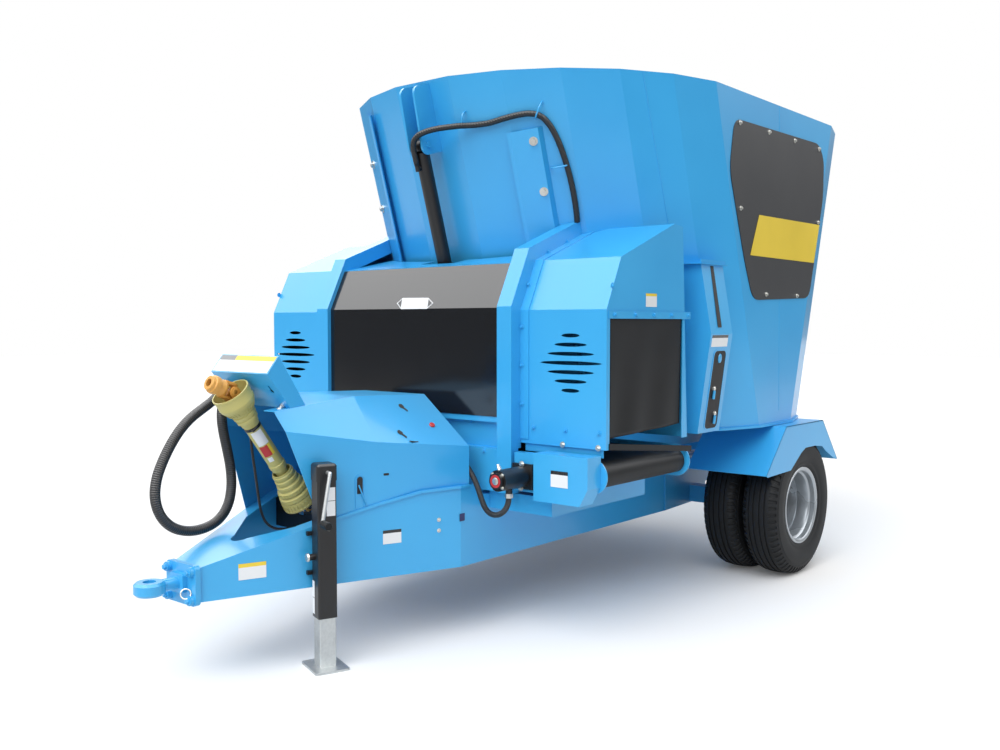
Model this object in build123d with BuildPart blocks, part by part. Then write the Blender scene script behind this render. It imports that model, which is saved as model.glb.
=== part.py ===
from build123d import *
import os
from math import atan2, cos, hypot, pi, radians, sin, tan

os.makedirs("parts", exist_ok=True)

# Vertical feed mixer wagon, millimetres.
# X points to the wagon's left, Y to its rear, Z up; the origin is on the ground, under the
# middle of its length. Lengths along Y are given as distances ahead of the axle.
eye_reach = 3504.0
rear_reach = 1471.0
axle_y = (eye_reach - rear_reach) / 2

# Named clearances
seat_gap = 0.3
shaft_gap = 1.0
moving_gap = 8.0

# Tub: a faceted funnel, lofted between two rings that share their fold angles
rim_z = 2670.0
floor_z = 896.0
tub_radius = 1160.0
rim_stretch = 540.0
floor_stretch = 4.0
first_fold = 10.0
last_fold = 81.0
folds_per_quarter = 6
tub_wall = 8.0
floor_sheet = 12.0
tub_y = axle_y + rear_reach - rim_stretch - tub_radius * sin(radians(last_fold))

# Wheels: 7.50-16 twins
tyre_radius = 402.5
tyre_width = 215.0
twin_pitch = 245.0
rim_flange_radius = 222.0
rim_bead_radius = 203.0
wheel_outer_x = 1230.0
wheel_z = tyre_radius
axle_square = 100.0

# Frame and drawbar
plate = 8.0
headstock_half = 92.0
headstock_ahead = 3278.0
headstock_top = 472.5
splay = 20.0
rail_half = 500.0
frame_bottom = 332.0
rail_top = 650.0
rail_rear_ahead = -810.0
flange_width = 70.0
driveline_z = 630.0

# Discharge conveyor, under the front of the tub
belt_front_ahead = 1942.0
belt_rear_ahead = 1262.0
roller_radius = 52.0
belt_sheet = 6.0
roller_z = 788.0
conveyor_half = 1156.0
cheek_sheet = 6.0
cheek_half_height = 78.0
cheek_gap = 14.0

# Hood over the conveyor
hood_half = 1156.0
hood_sheet = 4.0
hood_foot_z = 905.0
arch_outer = 682.0
arch_width = 86.0
arch_depth = 72.0
arch_sheet = 6.0
panel_stand = 50.0
panel_sheet = 4.0
panel_foot_z = 1021.0
panel_top_z = 1740.0

# Discharge gate, in the front wall
gate_half = 488.0
gate_sheet = 12.0
gate_foot = 20.0
gate_height = 620.0
gate_stroke = 480.0
opening_half = 430.0
opening_foot = 45.0
opening_height = 540.0


def ahead(distance):
    """Y of a place that lies this far ahead of the axle."""
    return axle_y - distance


def save(piece, label):
    """Name a finished solid and write it."""
    piece.label = label
    export_step(piece, f"parts/{label}.step")


def prism(plane, outline, depth, mode=Mode.ADD):
    """Push a closed outline out of its plane, in the part being built."""
    with BuildSketch(plane) as section:
        with BuildLine():
            Polyline(*outline, close=True)
        make_face()
    extrude(section.sketch, amount=depth, mode=mode)


def block(x, y, z, mode=Mode.ADD):
    """A block between pairs of coordinates, in the part being built."""
    with Locations(((x[0] + x[1]) / 2, (y[0] + y[1]) / 2, (z[0] + z[1]) / 2)):
        Box(abs(x[1] - x[0]), abs(y[1] - y[0]), abs(z[1] - z[0]), mode=mode)


def rod(start, end, radius, mode=Mode.ADD):
    """A round bar from one point to another, in the part being built."""
    start = Vector(*start)
    end = Vector(*end)
    with BuildSketch(Plane(start, z_dir=end - start)) as section:
        Circle(radius)
    extrude(section.sketch, amount=(end - start).length, mode=mode)


def shifted(run, distance):
    """An open run of points moved to its left by a distance, with mitred corners."""
    result = []
    for i, (u, v) in enumerate(run):
        normals = []
        for j in (i - 1, i):
            if 0 <= j < len(run) - 1:
                du = run[j + 1][0] - run[j][0]
                dv = run[j + 1][1] - run[j][1]
                size = hypot(du, dv)
                normals.append((-dv / size, du / size))
        nu = sum(n[0] for n in normals)
        nv = sum(n[1] for n in normals)
        scale = distance * len(normals) / (nu * nu + nv * nv)
        result.append((u + nu * scale, v + nv * scale))
    return result


def folded(run, thickness):
    """Outline of a sheet that is folded along a run and thickened to its left."""
    return list(run) + shifted(run, thickness)[::-1]


def at_height(run, z):
    """Point where a rising run reaches a height."""
    for (u0, v0), (u1, v1) in zip(run, run[1:]):
        if v0 <= z <= v1:
            return (u0 + (u1 - u0) * (z - v0) / (v1 - v0), z)
    return run[-1]


def main_solid(piece):
    """The largest solid of a cut sheet, without the slivers that the tub's facets leave."""
    return Part() + piece.solids().sort_by(SortBy.VOLUME)[-1]


# Tub ring, folded at equal angles round each end arc
fold_step = (last_fold - first_fold) / (folds_per_quarter - 1)
fold_angles = [radians(first_fold + fold_step * i) for i in range(folds_per_quarter)]


def tub_ring(radius, stretch):
    """Corners of the tub at one height, about its own axis."""
    quarter = [(radius * cos(a), stretch + radius * sin(a)) for a in fold_angles]
    back = quarter + [(-x, y) for x, y in quarter[::-1]]
    return back + [(-x, -y) for x, y in back]


def tub_stretch(z):
    """How far the ring's end arcs stand from the axis at a height."""
    return floor_stretch + (rim_stretch - floor_stretch) * (z - floor_z) / (rim_z - floor_z)


def tub_loft(grow, mode=Mode.ADD):
    """The tub's outside grown outwards, in the part being built."""
    sections = []
    for z in (floor_z, rim_z):
        with BuildSketch(Plane((0, tub_y, z))) as section:
            with BuildLine():
                Polyline(*tub_ring(tub_radius + grow, tub_stretch(z)), close=True)
            make_face()
        sections.append(section.sketch)
    loft(sections, ruled=True, mode=mode)


def front_wall_y(z):
    """Y of the front wall's outside at a height."""
    return tub_y - tub_stretch(z) - tub_radius * sin(fold_angles[-1])


front_lean = atan2(front_wall_y(floor_z) - front_wall_y(rim_z), rim_z - floor_z)
rim_along = (rim_z - floor_z) / cos(front_lean)
up_front = Vector(0, -sin(front_lean), cos(front_lean))
out_front = Vector(0, -cos(front_lean), -sin(front_lean))
facet_depth = 400.0


def on_front(x, along, out):
    """Point beside the front wall: along it from the floor, and out from it."""
    return Vector(x, front_wall_y(floor_z), floor_z) + up_front * along + out_front * out


front_plane = Plane(on_front(0, 0, 0), x_dir=(1, 0, 0), z_dir=out_front)


def front_slab(x, along, out, mode=Mode.ADD):
    """A block laid along the front wall, in the part being built."""
    outline = [(x[0], along[0]), (x[1], along[0]), (x[1], along[1]), (x[0], along[1])]
    prism(front_plane.offset(out[0]), outline, out[1] - out[0], mode=mode)


def facet_point(x, z, out):
    """Point beside the facets of the tub's front at a height, out from them in the ring's plane."""
    front = sorted(corner for corner in tub_ring(tub_radius + out, tub_stretch(z)) if corner[1] < 0)
    for (x0, y0), (x1, y1) in zip(front, front[1:]):
        if x0 <= x <= x1:
            return Vector(x, tub_y + y0 + (y1 - y0) * (x - x0) / (x1 - x0), z)
    return Vector(x, tub_y, z)


def facet_plate(x, along, out):
    """A plate that follows the facets of the front wall, as a solid of its own."""
    with BuildPart(mode=Mode.PRIVATE) as skin:
        tub_loft(out[1])
        tub_loft(out[0], mode=Mode.SUBTRACT)
        front_slab(x, along, (-facet_depth, facet_depth), mode=Mode.INTERSECT)
    return skin.part


# Tub shell: loft, hollowed, with the discharge opening in its front wall and the knives' slots
knife_slot_ahead = 993.0
blade_sheet = 10.0
knife_slot_half = blade_sheet / 2 + seat_gap
knife_slot_z = (1000.0, 1640.0)
knife_slot_x = (700.0, 1250.0)
with BuildPart() as tub_envelope:
    tub_loft(seat_gap)
with BuildPart() as tub_shell:
    tub_loft(0)
    tub_loft(-tub_wall, mode=Mode.SUBTRACT)
    front_slab(
        (-opening_half, opening_half), (opening_foot, opening_foot + opening_height),
        (-facet_depth, facet_depth), mode=Mode.SUBTRACT,
    )
    for side in (-1, 1):
        block(
            (side * knife_slot_x[0], side * knife_slot_x[1]),
            (ahead(knife_slot_ahead) - knife_slot_half, ahead(knife_slot_ahead) + knife_slot_half),
            knife_slot_z, mode=Mode.SUBTRACT,
        )
save(tub_shell.part, "tub_shell")

# Tub floor: a plate with a lip round the shell, on two bearers over the rails
bearer_top = floor_z - floor_sheet
bearer_half = 50.0
cell_height = 74.0
bearer_foot = rail_top + cell_height
bearer_ends = (1202.0, -760.0)
tie_rows = (1150.0, -430.0)
tie_width = 70.0
gearbox_half = 210.0
output_radius = 90.0
floor_lip = 14.0
floor_bore_gap = 12.0
with BuildPart() as tub_floor:
    with BuildSketch(Plane((0, tub_y, bearer_top))):
        with BuildLine():
            Polyline(*tub_ring(tub_radius + floor_lip, floor_stretch), close=True)
        make_face()
        Circle(output_radius + floor_bore_gap, mode=Mode.SUBTRACT)
    extrude(amount=floor_sheet)
    for side in (-1, 1):
        block(
            (side * (rail_half - bearer_half), side * (rail_half + bearer_half)),
            (ahead(bearer_ends[0]), ahead(bearer_ends[1])), (bearer_foot, bearer_top),
        )
    for row in tie_rows:
        block((-rail_half, rail_half), (ahead(row), ahead(row - tie_width)), (bearer_foot, bearer_top))
save(tub_floor.part, "tub_floor")

# Load cells between the rails and the bearers, one at each corner, slotted to bend
cell_rows = (1080.0, -420.0)
cell_half = 34.0
cell_long = 60.0
cell_slot = 30.0
cell_skin = 26.0
with BuildPart() as load_cells:
    for side in (-1, 1):
        for row in cell_rows:
            x = (side * (rail_half - cell_half), side * (rail_half + cell_half))
            block(x, (ahead(row + cell_long), ahead(row - cell_long)), (rail_top, bearer_foot))
            block(
                x, (ahead(row + cell_slot), ahead(row - cell_slot)),
                (rail_top + cell_skin, bearer_foot - cell_skin), mode=Mode.SUBTRACT,
            )
save(load_cells.part, "load_cells")

# Gearbox under the tub floor, with its output through the floor and its input at the front
gearbox_z = (rail_top - 90, bearer_top - 16)
input_radius = 60.0
input_reach = 70.0
auger_foot = floor_z + 14.0
gearbox_front = tub_y - gearbox_half
with BuildPart() as auger_gearbox:
    block((-gearbox_half, gearbox_half), (gearbox_front, tub_y + gearbox_half), gearbox_z)
    rod((0, tub_y, gearbox_z[1]), (0, tub_y, floor_z + 4), output_radius)
    rod((0, gearbox_front, driveline_z), (0, gearbox_front - input_reach, driveline_z), input_radius)
save(auger_gearbox.part, "auger_gearbox")

# Auger: a hollow conical core with one helical flight that narrows as it climbs
auger_top = 2290.0
core_foot_radius = 230.0
core_top_radius = 120.0
core_wall = 12.0
auger_hub_radius = 80.0
flight_foot_radius = 1010.0
flight_top_radius = 330.0
flight_sheet = 16.0
flight_turns = 2.5
flight_steps = 36
flight_curve = 0.85
flight_rise = auger_top - auger_foot - 90.0


def flight_radius(share):
    """Outer radius of the flight at a share of its climb."""
    return flight_foot_radius + (flight_top_radius - flight_foot_radius) * share ** flight_curve


with BuildPart() as auger:
    core_height = auger_top - auger_foot
    with Locations((0, tub_y, auger_foot + core_height / 2)):
        Cone(core_foot_radius, core_top_radius, core_height)
    for i in range(flight_steps + 1):
        share = i / flight_steps
        turn = 2 * pi * flight_turns * share
        inner = core_foot_radius - (core_foot_radius - core_top_radius) * share - core_wall / 2
        outer = flight_radius(share)
        base = Vector(0, tub_y, auger_foot + flight_rise * share)
        section = Plane(base, x_dir=(cos(turn), sin(turn), 0), z_dir=(-sin(turn), cos(turn), 0))
        with BuildSketch(section):
            with BuildLine():
                Polyline((inner, 0), (outer, 0), (outer, -flight_sheet), (inner, -flight_sheet), close=True)
            make_face()
    loft(ruled=True)
    with Locations((0, tub_y, auger_foot + core_height / 2)):
        Cone(
            core_foot_radius - core_wall, core_top_radius - core_wall, core_height - 2 * core_wall,
            mode=Mode.SUBTRACT,
        )
    rod((0, tub_y, floor_z + 4 + seat_gap), (0, tub_y, auger_foot + core_wall / 2), auger_hub_radius)
save(auger.part, "auger")

# Knives bolted on the flight's edge through two bosses each, tilted with the flight
knife_turns = (150.0, 270.0, 390.0, 510.0, 630.0, 750.0)
knife_root = 120.0
knife_reach = 55.0
knife_long = (-90.0, 50.0, 120.0)
knife_sheet = 8.0
knife_boss = 10.0
boss_rise = 6.0
boss_inset = 80.0
boss_ways = (-50.0, 30.0)
flight_climb = flight_rise / (2 * pi * flight_turns)
with BuildPart() as auger_knives:
    for knife_turn in knife_turns:
        share = knife_turn / (360 * flight_turns)
        turn = radians(knife_turn)
        outer = flight_radius(share)
        outward = Vector(cos(turn), sin(turn), 0)
        along = Vector(-sin(turn), cos(turn), flight_climb / outer).normalized()
        surface = Vector(0, tub_y, auger_foot + flight_rise * share + flight_sheet)
        plane = Plane(surface + Vector(0, 0, boss_rise), x_dir=outward, z_dir=outward.cross(along))
        outline = [
            (outer - knife_root, knife_long[0]), (outer + knife_reach * 0.4, knife_long[0]),
            (outer + knife_reach, knife_long[1]), (outer + knife_reach * 0.3, knife_long[2]),
            (outer - knife_root, knife_long[1]),
        ]
        prism(plane, outline, knife_sheet)
        for way in boss_ways:
            foot = plane.from_local_coords(Vector(outer - boss_inset, way, -2 * boss_rise))
            rod(foot, plane.from_local_coords(Vector(outer - boss_inset, way, 1)), knife_boss)
    add(auger.part.moved(Location((0, 0, seat_gap))), mode=Mode.SUBTRACT)
save(auger_knives.part, "auger_knives")

# Gate: a plate that follows the facets of the front wall, with ribs and a lug for the rod
rod_out = 95.0
rod_radius = 17.5
barrel_radius = 37.0
lug_along = gate_foot + 200.0
lug_pin_radius = 15.0
lug_half = 22.0
lug_sheet = 12.0
rib_half = 108.0
rib_height = 12.0
rib_out = (moving_gap + gate_sheet - 6, moving_gap + gate_sheet + 26)
gate_skin = facet_plate(
    (-gate_half, gate_half), (gate_foot, gate_foot + gate_height), (moving_gap, moving_gap + gate_sheet)
)
with BuildPart() as gate_panel:
    add(gate_skin)
    for rib_along in (gate_foot + 20, gate_foot + gate_height - 32):
        front_slab((-rib_half, rib_half), (rib_along, rib_along + rib_height), rib_out)
    for side in (-1, 1):
        front_slab(
            (side * lug_half, side * (lug_half + lug_sheet)), (lug_along - 60, lug_along + 60),
            (rib_out[0], rod_out + 28),
        )
    rod(
        on_front(-lug_half - 2, lug_along, rod_out), on_front(lug_half + 2, lug_along, rod_out),
        lug_pin_radius,
    )
save(gate_panel.part, "gate_panel")

# Gate cylinder: barrel hung between two ears under the rim, rod down to the gate's lug
pin_along = 1548.0
barrel_length = 650.0
barrel_foot = pin_along - barrel_length
eye_radius = 32.0
barrel_eye_radius = 38.0
ear_inner = 40.0
ear_sheet = 12.0
ear_pin_radius = 15.0
gland_height = 40.0
rod_engaged = 60.0
port_along = 1440.0
port_out = 150.0
port_head = 1462.0
port_radius = 12.0
with BuildPart() as gate_rod:
    rod(
        on_front(0, lug_along + eye_radius - 6, rod_out),
        on_front(0, barrel_foot + rod_engaged, rod_out), rod_radius,
    )
    eye_half = lug_half - 1
    rod(on_front(-eye_half, lug_along, rod_out), on_front(eye_half, lug_along, rod_out), eye_radius)
    rod(
        on_front(-eye_half, lug_along, rod_out), on_front(eye_half, lug_along, rod_out),
        lug_pin_radius + shaft_gap / 2, mode=Mode.SUBTRACT,
    )
save(gate_rod.part, "gate_rod")
with BuildPart() as gate_barrel:
    rod(on_front(0, barrel_foot, rod_out), on_front(0, pin_along - 34, rod_out), barrel_radius)
    rod(
        on_front(0, barrel_foot, rod_out), on_front(0, barrel_foot + gland_height, rod_out),
        barrel_radius + 6,
    )
    barrel_eye_half = ear_inner - 8
    rod(
        on_front(-barrel_eye_half, pin_along, rod_out), on_front(barrel_eye_half, pin_along, rod_out),
        barrel_eye_radius,
    )
    bore_head = barrel_foot + rod_engaged + gate_stroke + 12
    rod(
        on_front(0, barrel_foot, rod_out), on_front(0, bore_head, rod_out), rod_radius + shaft_gap,
        mode=Mode.SUBTRACT,
    )
    rod(
        on_front(-ear_inner, pin_along, rod_out), on_front(ear_inner, pin_along, rod_out),
        ear_pin_radius + shaft_gap / 2, mode=Mode.SUBTRACT,
    )
    rod(
        on_front(0, port_along, rod_out + barrel_radius - 8), on_front(0, port_along, port_out),
        port_radius,
    )
    rod(
        on_front(0, port_along - port_radius, port_out), on_front(0, port_head, port_out), port_radius
    )
save(gate_barrel.part, "gate_barrel")

# Two tall ears from the rim down to the pin, round at head and foot
ear_drop = 48.0
ear_round = 42.0
ear_foot_out = 140.0
ear_head_out = 118.0
ear_head_along = rim_along - 16.0
pin_head = 14.0
with BuildPart() as gate_ears:
    for side in (-1, 1):
        corners = [
            on_front(0, pin_along - ear_drop, seat_gap), on_front(0, pin_along - ear_drop, ear_foot_out),
            on_front(0, ear_head_along, ear_head_out), on_front(0, ear_head_along, seat_gap),
        ]
        with BuildSketch(Plane.YZ.offset(side * (ear_inner + ear_sheet / 2))) as ear:
            with BuildLine():
                Polyline(*[(corner.Y, corner.Z) for corner in corners], close=True)
            make_face()
            fillet(ear.vertices().sort_by(Axis.X)[0:2], radius=ear_round)
        extrude(amount=ear_sheet / 2, both=True)
    pin_end = ear_inner + ear_sheet + pin_head
    rod(on_front(-pin_end, pin_along, rod_out), on_front(pin_end, pin_along, rod_out), ear_pin_radius)
save(gate_ears.part, "gate_ears")

# Gate guides: a bar each side of the gate with a keeper over its edge, one longer than the other
keeper_lap = 36.0
keeper_sheet = 8.0
guide_gap = 12.0
guide_outer = 590.0
guide_foot = 4.0
keeper_out = moving_gap + gate_sheet + moving_gap
guide_rows = [
    # side, height of its head along the wall
    (-1, 1740.0),
    (1, 1536.0),
]
guide_plates = []
for side, guide_head in guide_rows:
    bar = sorted((side * (gate_half + guide_gap), side * guide_outer))
    keeper = sorted((side * (gate_half - keeper_lap), side * guide_outer))
    guide_plates.append(facet_plate(bar, (guide_foot, guide_head), (seat_gap, keeper_out)))
    guide_plates.append(
        facet_plate(keeper, (guide_foot, guide_head), (keeper_out, keeper_out + keeper_sheet))
    )
with BuildPart() as gate_guides:
    for guide_plate in guide_plates:
        add(guide_plate)
save(gate_guides.part, "gate_guides")

# Way that the gate and its guides need through the hood, the arches and the roof
gate_way_half = guide_outer + 4
with BuildPart() as gate_way:
    tub_loft(keeper_out + keeper_sheet + moving_gap)
    block(
        (-gate_way_half, gate_way_half), (front_wall_y(rim_z) - facet_depth, tub_y),
        (floor_z, rim_z), mode=Mode.INTERSECT,
    )

# Side hoods: folded sheet from foot to roof, a rear sheet and a gable, cut to the tub
hood_run = [
    # Y and Z of its folds
    (ahead(1942), hood_foot_z),
    (ahead(1942), 1519.0),
    (ahead(1830), 1751.0),
    (ahead(1374), 1927.0),
]
hood_rear_run = [(ahead(1374), 1927.0), (ahead(1296), 1918.0), (ahead(1240), hood_foot_z)]
hood_front = hood_run[0][0]
hood_rear = hood_rear_run[-1][0]
arch_run = shifted(hood_run, arch_depth)
panel_run = shifted(hood_run, panel_stand)
louvre_rows = [
    # rise from the middle row, length
    (-123, 99), (-82, 176), (-41, 253), (0, 336), (41, 253), (82, 176), (123, 99),
]
louvre_height = 18.0
louvre_z = 1281.0
louvre_x = (arch_outer + 88 + hood_half) / 2
flap_top = 1489.0
front_post = 26.0
rear_post = 51.0
gable_sheet = 4.0
skin_cut = 20.0
hood_inner = arch_outer - arch_width
for side, name in ((1, "hood_left"), (-1, "hood_right")):
    low_x = min(side * hood_inner, side * hood_half)
    gable_x = side * hood_half - (gable_sheet if side > 0 else 0)
    with BuildPart() as hood:
        prism(Plane.YZ.offset(low_x), folded(hood_run, -hood_sheet), hood_half - hood_inner)
        prism(Plane.YZ.offset(low_x), folded(hood_rear_run, -hood_sheet), hood_half - hood_inner)
        prism(Plane.YZ.offset(gable_x), hood_run + hood_rear_run[1:], gable_sheet)
        block(
            (side * (hood_half - skin_cut), side * (hood_half + skin_cut)),
            (hood_front + front_post, hood_rear - rear_post), (hood_foot_z - skin_cut, flap_top),
            mode=Mode.SUBTRACT,
        )
        with BuildSketch(Plane.XZ.offset(skin_cut - hood_front)):
            for rise, length in louvre_rows:
                with Locations((side * louvre_x, louvre_z + rise)):
                    Ellipse(length / 2, louvre_height / 2)
        extrude(amount=-2 * skin_cut, mode=Mode.SUBTRACT)
        add(tub_envelope.part, mode=Mode.SUBTRACT)
        add(gate_way.part, mode=Mode.SUBTRACT)
    save(main_solid(hood.part), name)

# Rubber flaps hang in the ends of the hoods from a clamp line
flap_sheet = 6.0
flap_foot_front = 952.0
flap_foot_rear = 975.0
flap_lap = 34.0
flap_inset = 6.0
for side, name in ((1, "flap_left"), (-1, "flap_right")):
    flap_face = side * (hood_half - gable_sheet - seat_gap) - (flap_sheet if side > 0 else 0)
    flap_front = hood_front + front_post + flap_inset
    flap_rear = hood_rear - rear_post - flap_inset
    with BuildPart() as flap:
        prism(
            Plane.YZ.offset(flap_face),
            [
                (flap_front, flap_foot_front), (flap_rear, flap_foot_rear),
                (flap_rear, flap_top + flap_lap), (flap_front, flap_top + flap_lap),
            ],
            flap_sheet,
        )
    save(flap.part, name)

# Frame arches: a channel over the joint of panel and hood, with a bolted foot on the hood
arch_foot_z = 672.0
arch_flange = 48.0
arch_flange_sheet = 5.0
cheek_front_y = ahead(belt_front_ahead + cheek_gap)
cheek_rear_y = ahead(belt_rear_ahead - cheek_gap)
cheek_seat_y = cheek_front_y - cheek_sheet - seat_gap
cheek_head_z = roller_z + cheek_half_height + cheek_gap
strip_run = [(arch_run[0][0], arch_foot_z)] + arch_run[1:]
hood_seat = shifted(hood_run, seat_gap)
arch_seat = [
    (cheek_seat_y, arch_foot_z), (cheek_seat_y, cheek_head_z), (hood_seat[0][0], cheek_head_z),
] + hood_seat[1:]
flange_run = shifted([(hood_front, hood_foot_z + 20)] + hood_run[1:], seat_gap)
for side, name in ((1, "arch_left"), (-1, "arch_right")):
    inner = side * hood_inner
    outer = side * arch_outer
    with BuildPart() as arch:
        prism(Plane.YZ.offset(min(inner, outer)), folded(strip_run, -arch_sheet), arch_width)
        for edge in (inner, outer - side * arch_sheet):
            prism(
                Plane.YZ.offset(min(edge, edge + side * arch_sheet)),
                strip_run + arch_seat[::-1], arch_sheet,
            )
        prism(
            Plane.YZ.offset(min(outer, outer + side * arch_flange)),
            folded(flange_run, arch_flange_sheet), arch_flange,
        )
        add(tub_envelope.part, mode=Mode.SUBTRACT)
        add(gate_way.part, mode=Mode.SUBTRACT)
    save(main_solid(arch.part), name)

# Centre panel, black, bent back at its top, and the flatter roof behind it
panel_bend = panel_run[1]
panel_top = at_height(panel_run, panel_top_z)
panel_half = hood_inner - seat_gap
roof_start = at_height(panel_run, panel_top_z + 3)
roof_end = (ahead(1500), 1823.0)
roof_slot = rib_half + 12
with BuildPart() as centre_panel:
    panel_line = [(panel_bend[0], panel_foot_z), panel_bend, panel_top]
    prism(Plane.YZ.offset(-panel_half), folded(panel_line, -panel_sheet), 2 * panel_half)
save(centre_panel.part, "centre_panel")
with BuildPart() as centre_roof:
    prism(Plane.YZ.offset(-panel_half), folded([roof_start, roof_end], -hood_sheet), 2 * panel_half)
    add(gate_way.part, mode=Mode.SUBTRACT)
    front_slab(
        (-roof_slot, roof_slot), (600, 1300), (-facet_depth, rod_out + barrel_radius + 24),
        mode=Mode.SUBTRACT,
    )
save(centre_roof.part, "centre_roof")

# Route of the motor's hose: from the motor's port round to a slanted gland on the front beam
motor_x = 752.0
motor_hose_radius = 13.0
motor_hose_top = 696.0
motor_hose_route = [
    (motor_x, ahead(2114.3), motor_hose_top), (motor_x, ahead(2114.3), 664), (736, ahead(2113), 626),
    (705, ahead(2111), 598), (666, ahead(2108), 585), (626, ahead(2104), 590), (594, ahead(2100), 614),
    (571, ahead(2095), 650), (549, ahead(2090), 688), (524, ahead(2083), 725), (493, ahead(2075), 756),
    (460, ahead(2064), 780), (428, ahead(2048), 796), (400, ahead(2029), 806),
]
gland_reach = 46.0
gland_radius = 16.0
gland_way = (Vector(*motor_hose_route[-1]) - Vector(*motor_hose_route[-2])).normalized()

# Front beam between the arches: a lipped channel, with the strip that the panel bolts to
beam_front = ahead(1995)
beam_foot = 672.0
beam_head = 872.0
beam_sheet = 6.0
beam_depth = 50.0
strip_height = 26.0
strip_y = panel_bend[0] + panel_sheet + seat_gap
beam_run = [
    (beam_front + beam_depth, beam_head), (beam_front, beam_head), (beam_front, beam_foot),
    (beam_front + beam_depth, beam_foot),
]
with BuildPart() as front_beam:
    beam_x = (-panel_half, panel_half)
    prism(Plane.YZ.offset(-panel_half), folded(beam_run, beam_sheet), 2 * panel_half)
    block(
        beam_x, (beam_front + beam_depth - 10, beam_front + beam_depth - 4),
        (beam_head - beam_sheet, panel_foot_z - strip_height + beam_sheet),
    )
    block(
        beam_x, (strip_y, beam_front + beam_depth - 4),
        (panel_foot_z - strip_height, panel_foot_z - strip_height + beam_sheet),
    )
    block(
        beam_x, (strip_y, strip_y + beam_sheet),
        (panel_foot_z - strip_height, panel_foot_z + strip_height),
    )
    gland_foot = Vector(*motor_hose_route[-1])
    rod(gland_foot, gland_foot + gland_way * gland_reach, gland_radius)
    rod(
        gland_foot + gland_way * gland_reach, gland_foot + gland_way * (gland_reach + 40), gland_radius / 2
    )
save(front_beam.part, "front_beam")

# Conveyor frame: two long cheeks with round ends, a bottom pan and feet on the rails
roller_x = conveyor_half - roller_radius - belt_sheet
axle_radius = 16.0
pan_half = 940.0
pan_sheet = 5.0
pan_z = roller_z - cheek_half_height
foot_width = 40.0
foot_long = 70.0
foot_rows = (1930.0, 1330.0)
with BuildPart() as conveyor_frame:
    for face_y in (cheek_front_y, cheek_rear_y + cheek_sheet):
        with BuildSketch(Plane.XZ.offset(-face_y)):
            with Locations((0, roller_z)):
                SlotCenterToCenter(2 * roller_x, 2 * cheek_half_height)
            with Locations((-roller_x, roller_z), (roller_x, roller_z)):
                Circle(axle_radius + shaft_gap, mode=Mode.SUBTRACT)
        extrude(amount=cheek_sheet)
    block(
        (-pan_half, pan_half), (cheek_front_y - cheek_sheet, cheek_rear_y + cheek_sheet),
        (pan_z, pan_z + pan_sheet),
    )
    for side in (-1, 1):
        for row in foot_rows:
            foot_x = side * (rail_half - foot_width / 2 - 5)
            block(
                (foot_x - foot_width / 2, foot_x + foot_width / 2), (ahead(row), ahead(row) + foot_long),
                (rail_top, pan_z),
            )
save(conveyor_frame.part, "conveyor_frame")

# Belt: one loop round both rollers
with BuildPart() as conveyor_belt:
    with BuildSketch(Plane.XZ.offset(-ahead(belt_rear_ahead))):
        with Locations((0, roller_z)):
            SlotCenterToCenter(2 * roller_x, 2 * (roller_radius + belt_sheet))
            SlotCenterToCenter(2 * roller_x, 2 * roller_radius, mode=Mode.SUBTRACT)
    extrude(amount=belt_front_ahead - belt_rear_ahead)
save(conveyor_belt.part, "conveyor_belt")

# Rollers with their shafts through the cheeks
shaft_stub = 20.0
roller_inset = 4.0
with BuildPart() as conveyor_rollers:
    for x in (-roller_x, roller_x):
        rod(
            (x, ahead(belt_front_ahead - roller_inset), roller_z),
            (x, ahead(belt_rear_ahead + roller_inset), roller_z), roller_radius - seat_gap,
        )
        rod(
            (x, cheek_front_y - cheek_sheet - shaft_stub, roller_z),
            (x, cheek_rear_y + cheek_sheet + shaft_stub, roller_z), axle_radius,
        )
save(conveyor_rollers.part, "conveyor_rollers")

# Chain cover at the near end of the conveyor, with its lower corner cut, and the motor's plate
cover_x = (850.0, 1143.0)
cover_z = (668.0, 882.0)
cover_corner = (1100.0, 745.0)
cover_sheet = 4.0
cover_front = ahead(2062)
motor_plate = 42.0
motor_plate_z = (690.0, 868.0)
motor_plate_front = cheek_seat_y - motor_plate
motor_plate_inner = arch_outer + arch_flange - 36
with BuildPart() as chain_cover:
    outline = [
        (cover_x[0], cover_z[0]), (cover_corner[0], cover_z[0]), (cover_x[1], cover_corner[1]),
        (cover_x[1], cover_z[1]), (cover_x[0], cover_z[1]),
    ]
    inside = [
        (cover_x[0] + cover_sheet, cover_z[0] + cover_sheet), (cover_corner[0] - 2, cover_z[0] + cover_sheet),
        (cover_x[1] - cover_sheet, cover_corner[1] + 2), (cover_x[1] - cover_sheet, cover_z[1] - cover_sheet),
        (cover_x[0] + cover_sheet, cover_z[1] - cover_sheet),
    ]
    prism(Plane.XZ.offset(-cheek_seat_y), outline, cheek_seat_y - cover_front)
    prism(
        Plane.XZ.offset(-cheek_seat_y), inside, cheek_seat_y - cover_front - cover_sheet,
        mode=Mode.SUBTRACT,
    )
    block((motor_plate_inner, cover_x[0] + 2), (motor_plate_front, cheek_seat_y), motor_plate_z)
save(chain_cover.part, "chain_cover")

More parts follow.
